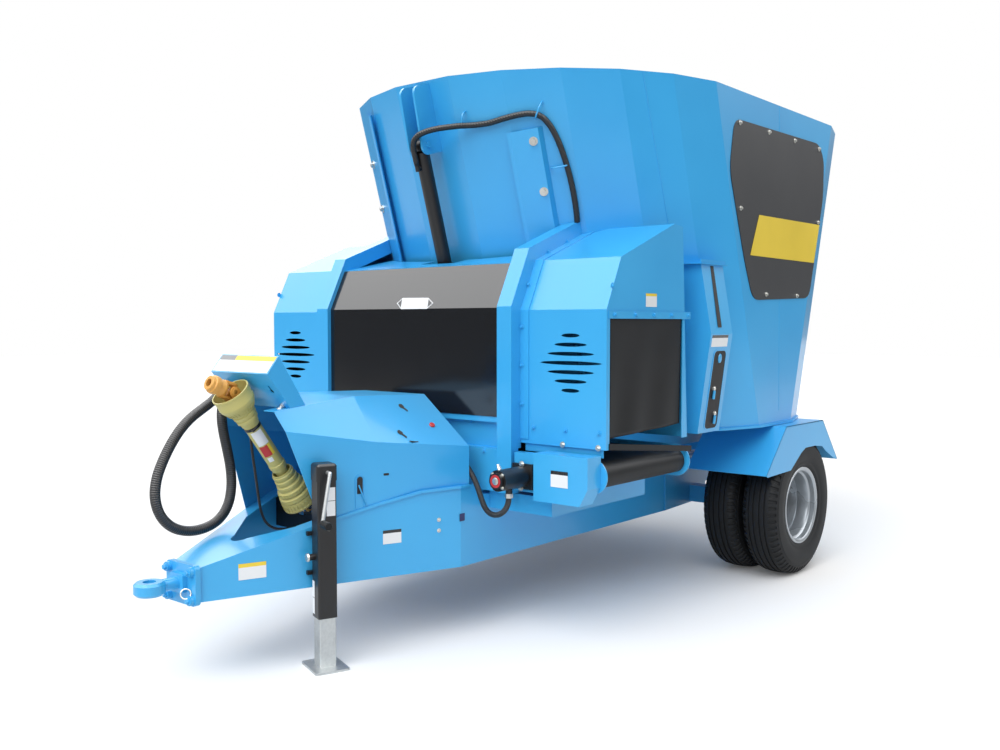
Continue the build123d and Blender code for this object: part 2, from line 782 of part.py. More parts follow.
# Hydraulic motor of the conveyor, with its hose port below
motor_z = 762.0
motor_radius = 48.0
motor_flange = 58.0
motor_flange_sheet = 16.0
motor_length = 190.0
motor_cap = 15.0
motor_port_radius = 15.0
with BuildPart() as conveyor_motor:
    block(
        (motor_x - motor_flange, motor_x + motor_flange),
        (motor_plate_front - motor_flange_sheet, motor_plate_front),
        (motor_z - motor_flange, motor_z + motor_flange),
    )
    rod(
        (motor_x, motor_plate_front - 10, motor_z), (motor_x, motor_plate_front - motor_length, motor_z),
        motor_radius,
    )
    rod(
        (motor_x, motor_plate_front - motor_length, motor_z),
        (motor_x, motor_plate_front - motor_length - motor_cap, motor_z), motor_radius - 12,
    )
    port_y = motor_hose_route[0][1]
    rod((motor_x, port_y, motor_z), (motor_x, port_y, motor_hose_top), motor_port_radius)
save(conveyor_motor.part, "conveyor_motor")

# Drawbar: two splayed side plates between flanges, closed by a cross plate under the conveyor
rail_ahead = headstock_ahead - (rail_half - headstock_half) / tan(radians(splay))
frame_edge = [
    # distance ahead of the axle, height of the top edge
    (headstock_ahead, headstock_top),
    (2780.0, 606.0),
    (2548.0, 662.0),
    (2350.0, 700.0),
    (rail_ahead, 706.0),
]
step_ahead = 2040.0
axle_seat = wheel_z + axle_square / 2
frame_reach = 600.0
shaft_hole_radius = 48.0


def half_width(distance):
    """Half width of the frame at a distance ahead of the axle."""
    return headstock_half + max(0.0, headstock_ahead - max(distance, rail_ahead)) * tan(radians(splay))


def edge_z(distance):
    """Height of the frame's top edge at a distance ahead of the axle."""
    for (a0, z0), (a1, z1) in zip(frame_edge, frame_edge[1:]):
        if a1 <= distance <= a0:
            return z0 + (z1 - z0) * (a0 - distance) / (a0 - a1)
    return frame_edge[-1][1]


def plan_outline(inset, nose_ahead=headstock_ahead, tail_ahead=rail_rear_ahead):
    """Plan of the frame, inset from its outside, between two distances ahead of the axle."""
    slope = tan(radians(splay))
    nose_half = half_width(nose_ahead) - inset / cos(radians(splay))
    corner_half = rail_half - inset
    corner = (min(nose_ahead, nose_ahead - (corner_half - nose_half) / slope), corner_half)
    half = [(nose_half, ahead(nose_ahead)), (corner[1], ahead(corner[0])), (corner_half, ahead(tail_ahead))]
    return half + [(-x, y) for x, y in half[::-1]]


top_line = [(ahead(d), z) for d, z in frame_edge] + [(ahead(step_ahead), frame_edge[-1][1])]
web_outline = top_line + [(ahead(step_ahead), frame_bottom), (ahead(headstock_ahead), frame_bottom)]
tip_ahead = 3050.0
tip_radius = 46.0
tip_throat = 200.0
throat_half = half_width(tip_ahead - tip_throat) - flange_width
cross_ahead = 2050.0
with BuildPart(mode=Mode.PRIVATE) as side_webs:
    prism(Plane.YZ.offset(-rail_half), web_outline, 2 * rail_half)
    prism(Plane.XY.offset(frame_bottom), plan_outline(0), frame_reach, mode=Mode.INTERSECT)
    prism(Plane.XY.offset(0), plan_outline(plate), 2 * frame_reach, mode=Mode.SUBTRACT)
with BuildPart(mode=Mode.PRIVATE) as flanges:
    prism(Plane.YZ.offset(-rail_half), folded(top_line, -plate), 2 * rail_half)
    block(
        (-rail_half, rail_half), (ahead(headstock_ahead), ahead(step_ahead)),
        (frame_bottom, frame_bottom + plate),
    )
    prism(Plane.XY.offset(frame_bottom), plan_outline(0), frame_reach, mode=Mode.INTERSECT)
    prism(
        Plane.XY.offset(0), plan_outline(flange_width, nose_ahead=tip_ahead - tip_throat, tail_ahead=0),
        2 * frame_reach, mode=Mode.SUBTRACT,
    )
    tip_y = ahead(tip_ahead - tip_radius)
    rod((0, tip_y, 0), (0, tip_y, 2 * frame_reach), tip_radius, mode=Mode.SUBTRACT)
    prism(
        Plane.XY.offset(0),
        [
            (-tip_radius * 0.94, tip_y - 10), (tip_radius * 0.94, tip_y - 10),
            (throat_half, ahead(tip_ahead - tip_throat)), (-throat_half, ahead(tip_ahead - tip_throat)),
        ],
        2 * frame_reach, mode=Mode.SUBTRACT,
    )
with BuildPart() as drawbar_frame:
    add(side_webs.part)
    add(flanges.part)
    block(
        (-rail_half + plate / 2, rail_half - plate / 2), (ahead(cross_ahead), ahead(step_ahead)),
        (frame_bottom + 60, frame_edge[-1][1] - 60),
    )
    rod(
        (0, ahead(cross_ahead + plate), driveline_z), (0, ahead(step_ahead - plate), driveline_z),
        shaft_hole_radius, mode=Mode.SUBTRACT,
    )
save(drawbar_frame.part, "drawbar_frame")

# Chassis: two rails behind the drawbar, stepped over the axle, cross plates and conveyor wings
rail_wall = 8.0
wing_rows = (1950.0, 1160.0)
wing_foot = 580.0
wing_head = 664.0
wing_half = 870.0
wing_sheet = 6.0
wing_floor_half = rail_half - rail_wall / 2
cross_sheet = 10.0
tub_ahead = axle_y - tub_y
saddle_reach = gearbox_half + 60
saddle_drop = 12.0
cross_rows = [
    # distance ahead, foot, head
    (1180.0, frame_bottom + 60, rail_top),
    (tub_ahead + saddle_reach, 480.0, gearbox_z[0]),
    (tub_ahead - saddle_reach + cross_sheet, 480.0, gearbox_z[0]),
    (rail_rear_ahead + 20, axle_seat + 95, rail_top),
]
rail_outline = [
    (ahead(step_ahead), rail_top), (ahead(rail_rear_ahead), rail_top),
    (ahead(rail_rear_ahead), axle_seat + 90), (ahead(-300), axle_seat), (ahead(150), axle_seat),
    (ahead(320), frame_bottom), (ahead(step_ahead), frame_bottom),
]
with BuildPart() as chassis_rails:
    for side in (-1, 1):
        inner_x = side * (rail_half - rail_wall)
        prism(Plane.YZ.offset(min(inner_x, side * rail_half)), rail_outline, rail_wall)
        flange_x = (side * (rail_half - flange_width), side * rail_half)
        block(
            flange_x, (ahead(step_ahead), ahead(320)), (frame_bottom, frame_bottom + rail_wall),
        )
        block(flange_x, (ahead(step_ahead), ahead(rail_rear_ahead)), (rail_top - rail_wall, rail_top))
        wing_x = (side * (rail_half - rail_wall / 2), side * wing_half)
        block(wing_x, (ahead(wing_rows[0]), ahead(wing_rows[1])), (wing_foot, wing_foot + wing_sheet))
        block(
            (side * (wing_half - wing_sheet), side * wing_half),
            (ahead(wing_rows[0]), ahead(wing_rows[1])), (wing_foot, wing_head),
        )
        for row in (wing_rows[0], wing_rows[1] + wing_sheet):
            block(wing_x, (ahead(row), ahead(row) + wing_sheet), (wing_foot, wing_head))
    for row, low_z, high_z in cross_rows:
        block(
            (-rail_half + rail_wall / 2, rail_half - rail_wall / 2),
            (ahead(row), ahead(row) + cross_sheet), (low_z, high_z),
        )
    block(
        (-gearbox_half, gearbox_half), (tub_y - saddle_reach, tub_y + saddle_reach),
        (gearbox_z[0] - saddle_drop, gearbox_z[0]),
    )
    rod((0, ahead(1300), driveline_z), (0, ahead(900), driveline_z), shaft_hole_radius, mode=Mode.SUBTRACT)
save(chassis_rails.part, "chassis_rails")

# Headstock plate with four bolt bosses
headstock_sheet = 24.0
headstock_margin = 13.0
headstock_round = 22.0
boss_radius = 20.0
boss_out = 16.0
boss_inset = 12.0
headstock_front = ahead(headstock_ahead + headstock_sheet)
headstock_z = (frame_bottom + headstock_top) / 2
headstock_height = headstock_top - frame_bottom
with BuildPart() as headstock:
    with BuildSketch(Plane.XZ.offset(-ahead(headstock_ahead))):
        with Locations((0, headstock_z)):
            RectangleRounded(
                2 * (headstock_half + headstock_margin), headstock_height + 2 * headstock_margin,
                headstock_round,
            )
    extrude(amount=headstock_sheet)
    with BuildSketch(Plane.XZ.offset(-headstock_front)):
        with Locations((0, headstock_z)):
            with GridLocations(
                2 * (headstock_half - boss_inset), headstock_height - 2 * boss_inset, 2, 2
            ):
                Circle(boss_radius)
    extrude(amount=boss_out)
save(headstock.part, "headstock")

# Tow eye: a forged ring with a vertical bore, its shank flared to a flange
eye_z = 408.0
eye_outer = 62.0
eye_bore = 26.0
eye_thick = 54.0
eye_chamfer = 10.0
shank_radius = 26.0
eye_flange_sheet = 22.0
eye_y = ahead(eye_reach) + eye_outer
with BuildPart() as tow_eye:
    with Locations((0, eye_y, eye_z)):
        Cylinder(eye_outer, eye_thick)
    chamfer(tow_eye.edges().filter_by(GeomType.CIRCLE), length=eye_chamfer)
    rod((0, eye_y, eye_z), (0, headstock_front - 1, eye_z), shank_radius)
    with BuildSketch(Plane.XZ.offset(-headstock_front)):
        with Locations((0, eye_z)):
            RectangleRounded(96, 80, 16)
    extrude(amount=eye_flange_sheet)
    with Locations((0, eye_y, eye_z)):
        Cylinder(eye_bore, 2 * eye_thick, mode=Mode.SUBTRACT)
save(tow_eye.part, "tow_eye")

# Jack beside the drawbar: square tube with a cap, on two lugs and a pin
jack_ahead = 2800.0
jack_square = 84.0
jack_wall = 5.0
jack_stand = 20.0
jack_cap = 72.0
cap_round = 14.0
tube_foot_z = 218.0
tube_head_z = 800.0
lug_rises = (392.0, 560.0)
lug_long = 120.0
lug_thick = 16.0
jack_pin_z = 475.0
jack_pin_radius = 14.0
plate_dir = Vector(sin(radians(splay)), cos(radians(splay)), 0)
plate_out = Vector(cos(radians(splay)), -sin(radians(splay)), 0)
jack_base = Vector(half_width(jack_ahead), ahead(jack_ahead), 0)
jack_centre = jack_base + plate_out * (seat_gap + jack_stand + jack_square / 2)


def jack_point(out, along, z):
    """Point beside the jack: out from the drawbar, back along its side, and height."""
    return jack_centre + plate_out * out + plate_dir * along + Vector(0, 0, z)


def jack_plane(z):
    """Level plane in the directions of the drawbar's side."""
    return Plane(jack_point(0, 0, z), x_dir=plate_out, z_dir=(0, 0, 1))


with BuildPart() as jack_tube:
    with BuildSketch(jack_plane(tube_foot_z)):
        RectangleRounded(jack_square, jack_square, 2 * jack_wall)
        RectangleRounded(jack_square - 2 * jack_wall, jack_square - 2 * jack_wall, jack_wall, mode=Mode.SUBTRACT)
    extrude(amount=tube_head_z - tube_foot_z)
    with BuildSketch(jack_plane(tube_head_z)):
        RectangleRounded(jack_square + 6, jack_square + 6, cap_round)
    extrude(amount=jack_cap)
    fillet(jack_tube.faces().sort_by(Axis.Z)[-1].edges(), radius=cap_round)
    for rise in lug_rises:
        with BuildSketch(jack_plane(rise)):
            with Locations((-(jack_square + jack_stand) / 2, 0)):
                Rectangle(jack_stand, lug_long)
        extrude(amount=lug_thick)
    rod(jack_point(-10, -jack_square / 2 - 28, jack_pin_z), jack_point(-10, -jack_square / 2, jack_pin_z), jack_pin_radius)
save(jack_tube.part, "jack_tube")

# Jack leg and foot plate, free to slide in the tube
leg_side = jack_square - 2 * jack_wall - 2 * seat_gap
leg_wall = 4.0
leg_head_z = 590.0
foot_plate = (190.0, 150.0, 10.0)
with BuildPart() as jack_leg:
    with BuildSketch(jack_plane(foot_plate[2])):
        RectangleRounded(leg_side, leg_side, jack_wall)
        RectangleRounded(leg_side - 2 * leg_wall, leg_side - 2 * leg_wall, 2, mode=Mode.SUBTRACT)
    extrude(amount=leg_head_z - foot_plate[2])
    with BuildSketch(jack_plane(0)):
        RectangleRounded(foot_plate[0], foot_plate[1], 12)
    extrude(amount=foot_plate[2])
save(jack_leg.part, "jack_leg")

# Crank: a bent bar from the cap down to a grip
crank_radius = 8.0
grip_radius = 14.0
grip_length = 66.0
crank_z = (836.0, 636.0, 631.0)
crank_run = [
    jack_point(jack_square / 2 + 3, 0, crank_z[0]), jack_point(jack_square / 2 + 33, 0, crank_z[0]),
    jack_point(jack_square / 2 + 49, -40, crank_z[1]), jack_point(jack_square / 2 + 123, -40, crank_z[2]),
]
with BuildPart() as jack_crank:
    for start, end in zip(crank_run, crank_run[1:]):
        rod(start, end, crank_radius)
    for corner in crank_run[1:3]:
        with Locations(corner):
            Sphere(crank_radius)
    rod(crank_run[3] - plate_out * grip_length, crank_run[3], grip_radius)
save(jack_crank.part, "jack_crank")

# Driveline cover on the drawbar: hollow, open at front and rear, with a cut-out in one side
cover_rows = [
    # distance ahead, height of its folds, ridge half width, ridge height
    (2960.0, 1010.0, 178.0, 1090.0),
    (2548.0, 937.0, 210.0, 1132.0),
    (2100.0, 889.0, 210.0, 1118.0),
]
cover_wall = 4.0
cover_foot_z = 560.0
cover_front_foot = (ahead(2790), 600.0)
cover_front_head = (ahead(2967), 1100.0)
cover_notch_half = 104.0
cover_notch_z = 1012.0
hatch_half = 26.0
hatch_ahead = 2822.0
hatch_z = 740.0


def cover_loft(inset, mode=Mode.ADD):
    """The cover's outside, or its inside where an inset is given, in the part being built."""
    sections = []
    for distance, fold_z, ridge_half, ridge_z in cover_rows:
        step = -inset if distance == cover_rows[-1][0] else inset
        base = half_width(distance) - 1.1 * inset
        ridge = ridge_half - 0.4 * inset
        half = [(base, cover_foot_z), (base, fold_z - 0.4 * inset), (ridge, ridge_z - inset)]
        with BuildSketch(Plane.XZ.offset(-ahead(distance + step))) as section:
            with BuildLine():
                Polyline(*half, *[(-x, z) for x, z in half[::-1]], close=True)
            make_face()
        sections.append(section.sketch)
    loft(sections, ruled=True, mode=mode)


cover_seat = [(ahead(d), z + seat_gap) for d, z in frame_edge]
hatch_base = Vector(half_width(hatch_ahead), ahead(hatch_ahead), hatch_z)
with BuildPart() as driveline_cover:
    cover_loft(0)
    cover_loft(cover_wall, mode=Mode.SUBTRACT)
    prism(
        Plane.YZ.offset(-rail_half - flange_width),
        [
            (ahead(3200), 500), (cover_front_foot[0] - 20, 500), cover_front_foot, cover_front_head,
            (ahead(3200), 1150),
        ],
        2 * (rail_half + flange_width), mode=Mode.SUBTRACT,
    )
    prism(
        Plane.YZ.offset(-rail_half - flange_width),
        [(ahead(3300), 400)] + cover_seat + [(ahead(1950), cover_seat[-1][1]), (ahead(1950), 400)],
        2 * (rail_half + flange_width), mode=Mode.SUBTRACT,
    )
    block(
        (-cover_notch_half, cover_notch_half), (ahead(3100), ahead(2868)), (cover_notch_z, 1200),
        mode=Mode.SUBTRACT,
    )
save(main_solid(driveline_cover.part), "driveline_cover")

# Control bracket on the front of the cover: a sloped plate on a folded box
console_x = (-218.0, 182.0)
console_top = [(ahead(2938), 1321.0), (ahead(2998), 1247.0)]
console_wall = 4.0
ridge_rise = (cover_rows[1][3] - cover_rows[0][3]) / (cover_rows[0][0] - cover_rows[1][0])


def on_ridge(distance):
    """Point on top of the cover's ridge, as Y and Z."""
    return (ahead(distance), cover_rows[0][3] + ridge_rise * (cover_rows[0][0] - distance) + seat_gap)


console_foot = on_ridge(2880.0)
console_rear = on_ridge(2800.0)
console_width = console_x[1] - console_x[0]
keyholes = [
    # X, distance up the face
    (-176.0, 92.0), (132.0, 92.0),
]
keyhole_radius = 11.0
keyhole_slot = 26.0
console_face = Plane(
    (0, console_foot[0], console_foot[1]), x_dir=(1, 0, 0),
    z_dir=(0, console_foot[1] - console_top[1][1], console_top[1][0] - console_foot[0]),
)
with BuildPart() as control_console:
    prism(
        Plane.YZ.offset(console_x[0]), [console_top[0], console_rear, console_foot, console_top[1]],
        console_width,
    )
    prism(
        Plane.YZ.offset(console_x[0] + console_wall),
        [
            (console_top[0][0] - 1.5, console_top[0][1] - 7), (console_rear[0] + 40, console_rear[1] + 4),
            (console_rear[0] - 2, console_foot[1] - 30), (console_foot[0] + 4, console_foot[1] - 30),
            (console_foot[0] + 5, console_foot[1] + 2), (console_top[1][0] + 5.5, console_top[1][1] - 0.5),
        ],
        console_width - 2 * console_wall, mode=Mode.SUBTRACT,
    )
    with BuildSketch(console_face):
        for x, rise in keyholes:
            with Locations((x, rise)):
                Circle(keyhole_radius)
            with Locations((x, rise + keyhole_slot / 2)):
                SlotOverall(keyhole_slot + keyhole_radius, keyhole_radius, rotation=90)
    extrude(amount=3 * console_wall, both=True, mode=Mode.SUBTRACT)
save(control_console.part, "control_console")

# Driveline bearing: a flanged bearing on an upright plate between the drawbar's sides
joint_ahead = 2665.0
joint_y = ahead(joint_ahead)
bearing_ahead = 2560.0
bearing_y = ahead(bearing_ahead)
bearing_half = 62.0
bearing_flange = 18.0
bearing_nose = 46.0
bearing_plate = 10.0
stub_radius = 17.5
bearing_seat_half = half_width(bearing_ahead) - plate / cos(radians(splay)) - shaft_gap
bearing_upper_half = half_width(bearing_ahead) - flange_width - 12
with BuildPart() as driveline_bearing:
    block(
        (-bearing_half, bearing_half), (bearing_y - bearing_flange, bearing_y),
        (driveline_z - bearing_half, driveline_z + bearing_half),
    )
    rod((0, bearing_y, driveline_z), (0, bearing_y - bearing_nose, driveline_z), bearing_nose)
    block(
        (-bearing_seat_half, bearing_seat_half), (bearing_y, bearing_y + bearing_plate),
        (driveline_z - 150, edge_z(bearing_ahead) - plate - 12),
    )
    block(
        (-bearing_upper_half, bearing_upper_half), (bearing_y, bearing_y + bearing_plate),
        (driveline_z - 20, driveline_z + 110),
    )
    rod(
        (0, bearing_y + 2 * bearing_plate, driveline_z), (0, bearing_y - 2 * bearing_nose, driveline_z),
        stub_radius + seat_gap, mode=Mode.SUBTRACT,
    )
save(driveline_bearing.part, "driveline_bearing")

# Driveline shaft: the stub through the bearing and the gearbox end, with its yoke and cross
cross_radius = 12.0
yoke_hub = 38.0
yoke_arm_half = 17.0
yoke_arm = (24.0, 38.0)
with BuildPart() as driveline_shaft:
    rod(
        (0, bearing_y - bearing_nose - shaft_gap, driveline_z),
        (0, gearbox_front - input_reach - shaft_gap, driveline_z), stub_radius,
    )
    rod(
        (0, bearing_y - bearing_nose - shaft_gap, driveline_z),
        (0, bearing_y - bearing_nose - 26, driveline_z), yoke_hub,
    )
    for side in (-1, 1):
        block(
            (-yoke_arm_half, yoke_arm_half), (joint_y - 18, bearing_y - 60),
            (driveline_z + side * yoke_arm[0], driveline_z + side * yoke_arm[1]),
        )
    rod((0, joint_y, driveline_z - 36), (0, joint_y, driveline_z + 36), cross_radius)
    rod((-42, joint_y, driveline_z), (42, joint_y, driveline_z), cross_radius)
save(driveline_shaft.part, "driveline_shaft")

# Telescopic shaft, stowed upright against the bracket. The joint is where the yokes cross.
shaft_lean = 35.8
shaft_up = Vector(0, -sin(radians(shaft_lean)), cos(radians(shaft_lean)))
shaft_across = Vector(0, -cos(radians(shaft_lean)), -sin(radians(shaft_lean)))
joint = Vector(0, joint_y, driveline_z)


def on_shaft(distance, x=0.0, across=0.0):
    """Point along the stowed shaft, aside along X, and across it."""
    return joint + shaft_up * distance + shaft_across * across + Vector(x, 0, 0)


def turned(profile, mode=Mode.ADD):
    """A ring of (radius, distance) points turned about the shaft, in the part being built."""
    with BuildSketch(Plane(joint, x_dir=(1, 0, 0), z_dir=shaft_across)) as section:
        with BuildLine():
            Polyline(*profile, close=True)
        make_face()
    revolve(section.sketch, axis=Axis(joint, shaft_up), mode=mode)


def fork(foot, spread, width, thick, length):
    """Two arms of a yoke that rise along the shaft, in the part being built."""
    for side in (-1, 1):
        arm_foot = Plane(on_shaft(foot, x=side * spread), x_dir=(1, 0, 0), z_dir=shaft_up)
        with BuildSketch(arm_foot) as section:
            Rectangle(thick, width)
        extrude(section.sketch, amount=length)


# Lower guard: a bell over the joint and the inner guard tube, joined by a ring
inner_guard = (20.0, 28.0)
inner_guard_ends = (150.0, 500.0)
bell_profile = [
    (78, 36), (78, 62), (62, 96), (50, 150), (46, 215), (41, 215), (45, 148), (57, 92), (72, 58), (72, 36),
]
with BuildPart() as shaft_lower_guard:
    turned(bell_profile)
    turned([
        (inner_guard[1], inner_guard_ends[0]), (inner_guard[1], inner_guard_ends[1]),
        (inner_guard[0], inner_guard_ends[1]), (inner_guard[0], inner_guard_ends[0]),
    ])
    turned([(47, 160), (47, 176), (inner_guard[0], 176), (inner_guard[0], 160)])
save(shaft_lower_guard.part, "shaft_lower_guard")

# Lower yoke on the cross
lower_hub_radius = 26.0
with BuildPart() as shaft_lower_yoke:
    rod(on_shaft(149), on_shaft(58), lower_hub_radius)
    fork(-16.0, 30.0, 34.0, 14.0, 84.0)
    rod(
        (-60, joint_y, driveline_z), (60, joint_y, driveline_z), cross_radius + seat_gap,
        mode=Mode.SUBTRACT,
    )
save(shaft_lower_yoke.part, "shaft_lower_yoke")

# Upper guard: tube and cone, with rings that ride on the inner tube and on the yoke
guard_tube = (31.0, 36.0)
guard_foot = 232.0
cone_foot = 500.0
upper_hub_radius = 29.0
ring_long = 14.0
cone_profile = [
    # radius, distance past the cone's foot
    (50, 40), (60, 50), (80, 105), (82, 165), (77, 165), (75, 108), (56, 56), (46, 46),
]
with BuildPart() as shaft_guard:
    turned(
        [(guard_tube[1], guard_foot), (guard_tube[1], cone_foot)]
        + [(radius, cone_foot + rise) for radius, rise in cone_profile]
        + [(guard_tube[0], cone_foot + 4), (guard_tube[0], guard_foot)]
    )
    for bore, outer, rise, long in (
        (inner_guard[1], guard_tube[0] + 3, -20, ring_long), (upper_hub_radius, 50, 43, 8)
    ):
        turned([
            (outer, cone_foot + rise), (outer, cone_foot + rise + long),
            (bore + seat_gap, cone_foot + rise + long), (bore + seat_gap, cone_foot + rise),
        ])
save(shaft_guard.part, "shaft_guard")

# Upper yoke, its cross, and the tractor's yoke that hangs forward from it
cross_at = cone_foot + 165.0
cross_reach = (41.0, 36.0)
hub_lean = Vector(0, -0.92, 0.39).normalized()
hub_across = Vector(0, -0.39, -0.92).normalized()
hub_reach = (42.0, 112.0)
hub_outer = 32.0
hub_bore = 17.0
cross_point = on_shaft(cross_at)
with BuildPart() as shaft_yoke:
    rod(on_shaft(cone_foot + 8), on_shaft(cone_foot + 120), upper_hub_radius)
    fork(cone_foot + 100, 34.0, 46.0, 15.0, 85.0)
    rod(on_shaft(cross_at, x=-cross_reach[0]), on_shaft(cross_at, x=cross_reach[0]), cross_radius)
    rod(
        on_shaft(cross_at, across=-cross_reach[1]), on_shaft(cross_at, across=cross_reach[1]),
        cross_radius,
    )
    rod(cross_point + hub_lean * hub_reach[0], cross_point + hub_lean * hub_reach[1], hub_outer)
    for side in (-1, 1):
        arm_foot = cross_point + hub_across * (side * 29) - hub_lean * 14
        with BuildSketch(Plane(arm_foot, x_dir=(1, 0, 0), z_dir=hub_lean)):
            Rectangle(40, 13)
        extrude(amount=66)
    rod(
        cross_point + hub_lean * hub_reach[0], cross_point + hub_lean * hub_reach[1], hub_bore,
        mode=Mode.SUBTRACT,
    )
save(shaft_yoke.part, "shaft_yoke")

# Axle beam under the rails, with the spindles of the hubs
beam_half = 640.0
spindle_radius = 30.0
hub_outer_x = 1105.0
with BuildPart() as axle_beam:
    block(
        (-beam_half, beam_half), (axle_y - axle_square / 2, axle_y + axle_square / 2),
        (wheel_z - axle_square / 2, wheel_z + axle_square / 2),
    )
    rod(
        (-hub_outer_x + 30, axle_y, wheel_z), (hub_outer_x - 30, axle_y, wheel_z), spindle_radius,
    )
save(axle_beam.part, "axle_beam")


def wheel_turn(side, profile):
    """Turn (distance out along X, radius) points about the axle, in the part being built."""
    with BuildSketch(Plane((0, axle_y, wheel_z), x_dir=(1, 0, 0), z_dir=(0, -1, 0))) as section:
        with BuildLine():
            Polyline(*[(side * x, r) for x, r in profile], close=True)
        make_face()
    revolve(section.sketch, axis=Axis((0, axle_y, wheel_z), (1, 0, 0)))


# Wheels: twin tyres on two rims that share a hub, at each side
tyre_half = tyre_width / 2
outer_mid = wheel_outer_x - tyre_half
inner_mid = outer_mid - twin_pitch
disc_x = outer_mid - twin_pitch / 2
hub_inner_x = 650.0
bead = rim_bead_radius + seat_gap
tread_half = [
    # distance from the tyre's middle, radius
    (78, bead), (90, 232), (tyre_half, 292), (tyre_half - 2, 330), (94, 366), (80, 391), (42, 400),
]
liner_half = [(60, rim_bead_radius + 26), (84, 288), (84, 330), (70, 362)]
tyre_profile = (
    [(-x, r) for x, r in tread_half] + [(0, tyre_radius)] + tread_half[::-1]
    + liner_half + [(0, 378)] + [(-x, r) for x, r in liner_half[::-1]]
)
rim_profile = [
    (92, rim_flange_radius), (92, rim_bead_radius - 6), (30, rim_bead_radius - 24),
    (-30, rim_bead_radius - 24), (-92, rim_bead_radius - 6), (-92, rim_flange_radius),
    (-86, rim_flange_radius), (-80, rim_bead_radius), (-30, rim_bead_radius - 12),
    (30, rim_bead_radius - 12), (80, rim_bead_radius), (86, rim_flange_radius),
]
disc_inner = 76.0
disc_outer = 150.0
spacer_outer = 120.0
hub_body = 70.0
hub_flange = 118.0
hub_cap = 60.0
for side, name in ((1, "left"), (-1, "right")):
    for middle, place in ((outer_mid, "outer"), (inner_mid, "inner")):
        with BuildPart() as tyre:
            wheel_turn(side, [(middle + x, r) for x, r in tyre_profile])
        save(tyre.part, f"tyre_{name}_{place}")
    with BuildPart() as rims:
        for middle, way in ((outer_mid, 1), (inner_mid, -1)):
            wheel_turn(side, [(middle + x, r) for x, r in rim_profile])
            wheel_turn(side, [
                (disc_x + way, disc_inner), (disc_x + way, disc_outer),
                (middle - way * 20, rim_bead_radius - 18), (middle - way * 12, rim_bead_radius - 18),
                (disc_x + way * 10, disc_outer - 4), (disc_x + way * 10, disc_inner),
            ])
        wheel_turn(side, [
            (disc_x - 2, disc_inner), (disc_x - 2, spacer_outer), (disc_x + 2, spacer_outer),
            (disc_x + 2, disc_inner),
        ])
    save(rims.part, f"rims_{name}")
    hub_seat = disc_x - 10 - seat_gap
    with BuildPart() as hub:
        wheel_turn(side, [
            (hub_inner_x + 10, spindle_radius + shaft_gap), (hub_inner_x + 10, hub_body),
            (disc_x - 30, hub_body), (disc_x - 30, hub_flange), (hub_seat, hub_flange),
            (hub_seat, hub_body), (disc_x + 60, hub_body), (disc_x + 80, hub_cap),
            (disc_x + 96, hub_cap), (disc_x + 96, 0), (disc_x + 82, 0),
            (disc_x + 82, spindle_radius + shaft_gap),
        ])
    save(hub.part, f"hub_{name}")

# Fenders: one folded sheet with an outer skirt over each pair of wheels, on arms from the rails
fender_outer = 1232.0
fender_inner = 745.0
fender_sheet = 5.0
fender_skirt = 46.0
fender_top = bearer_top - 2
fender_run = [
    (ahead(510), 632.0), (ahead(262), fender_top), (ahead(-252), fender_top), (ahead(-482), 627.0),
]
fender_arms = (200.0, -200.0)
arm_half = 20.0
arm_z = (rail_top - 40, rail_top - 10)
with BuildPart() as fenders:
    for side in (-1, 1):
        prism(
            Plane.YZ.offset(min(side * fender_inner, side * fender_outer)),
            folded(fender_run, -fender_sheet), fender_outer - fender_inner,
        )
        prism(
            Plane.YZ.offset(min(side * fender_outer, side * (fender_outer - fender_sheet))),
            fender_run + shifted(fender_run, -fender_skirt)[::-1], fender_sheet,
        )
        post_x = (side * fender_inner, side * (fender_inner + 8))
        for row in fender_arms:
            arm_y = (ahead(row) - arm_half, ahead(row) + arm_half)
            block((side * rail_half, post_x[1]), arm_y, arm_z)
            block(post_x, arm_y, (arm_z[0], fender_top - fender_sheet / 2))
save(fenders.part, "fenders")

# Knife boxes on the tub's sides, bulged at the middle, open at a slot and a long window
box_rows = [
    # X of the outer face, height
    (1150.0, 1750.0), (1210.0, 1405.0), (1140.0, 906.0),
]
box_y = (ahead(1106), ahead(881))
box_root = 700.0
box_sheet = 6.0
box_inset = 8.0
box_middle_y = (box_y[0] + box_y[1]) / 2
box_windows = [
    # half width, foot, head
    (12.0, 1440.0, 1715.0), (32.0, 925.0, 1320.0),
]
with BuildPart() as knife_boxes:
    for side in (-1, 1):
        (head_x, head_z), (mid_x, mid_z), (foot_x, foot_z) = box_rows
        prism(
            Plane.XZ.offset(-box_y[1]),
            [
                (side * head_x, head_z), (side * mid_x, mid_z), (side * foot_x, foot_z),
                (side * box_root, foot_z), (side * box_root, head_z),
            ],
            box_y[1] - box_y[0],
        )
        prism(
            Plane.XZ.offset(-box_y[1] + box_sheet),
            [
                (side * (head_x - box_sheet), head_z - box_inset), (side * (mid_x - box_sheet), mid_z),
                (side * (foot_x - box_sheet), foot_z + box_inset), (side * box_root, foot_z + box_inset),
                (side * box_root, head_z - box_inset),
            ],
            box_y[1] - box_y[0] - 2 * box_sheet, mode=Mode.SUBTRACT,
        )
        for half, window_foot, window_head in box_windows:
            block(
                (side * (mid_x - 110), side * (mid_x + 50)),
                (box_middle_y - half, box_middle_y + half), (window_foot, window_head),
                mode=Mode.SUBTRACT,
            )
    add(tub_envelope.part, mode=Mode.SUBTRACT)
save(knife_boxes.part, "knife_boxes")

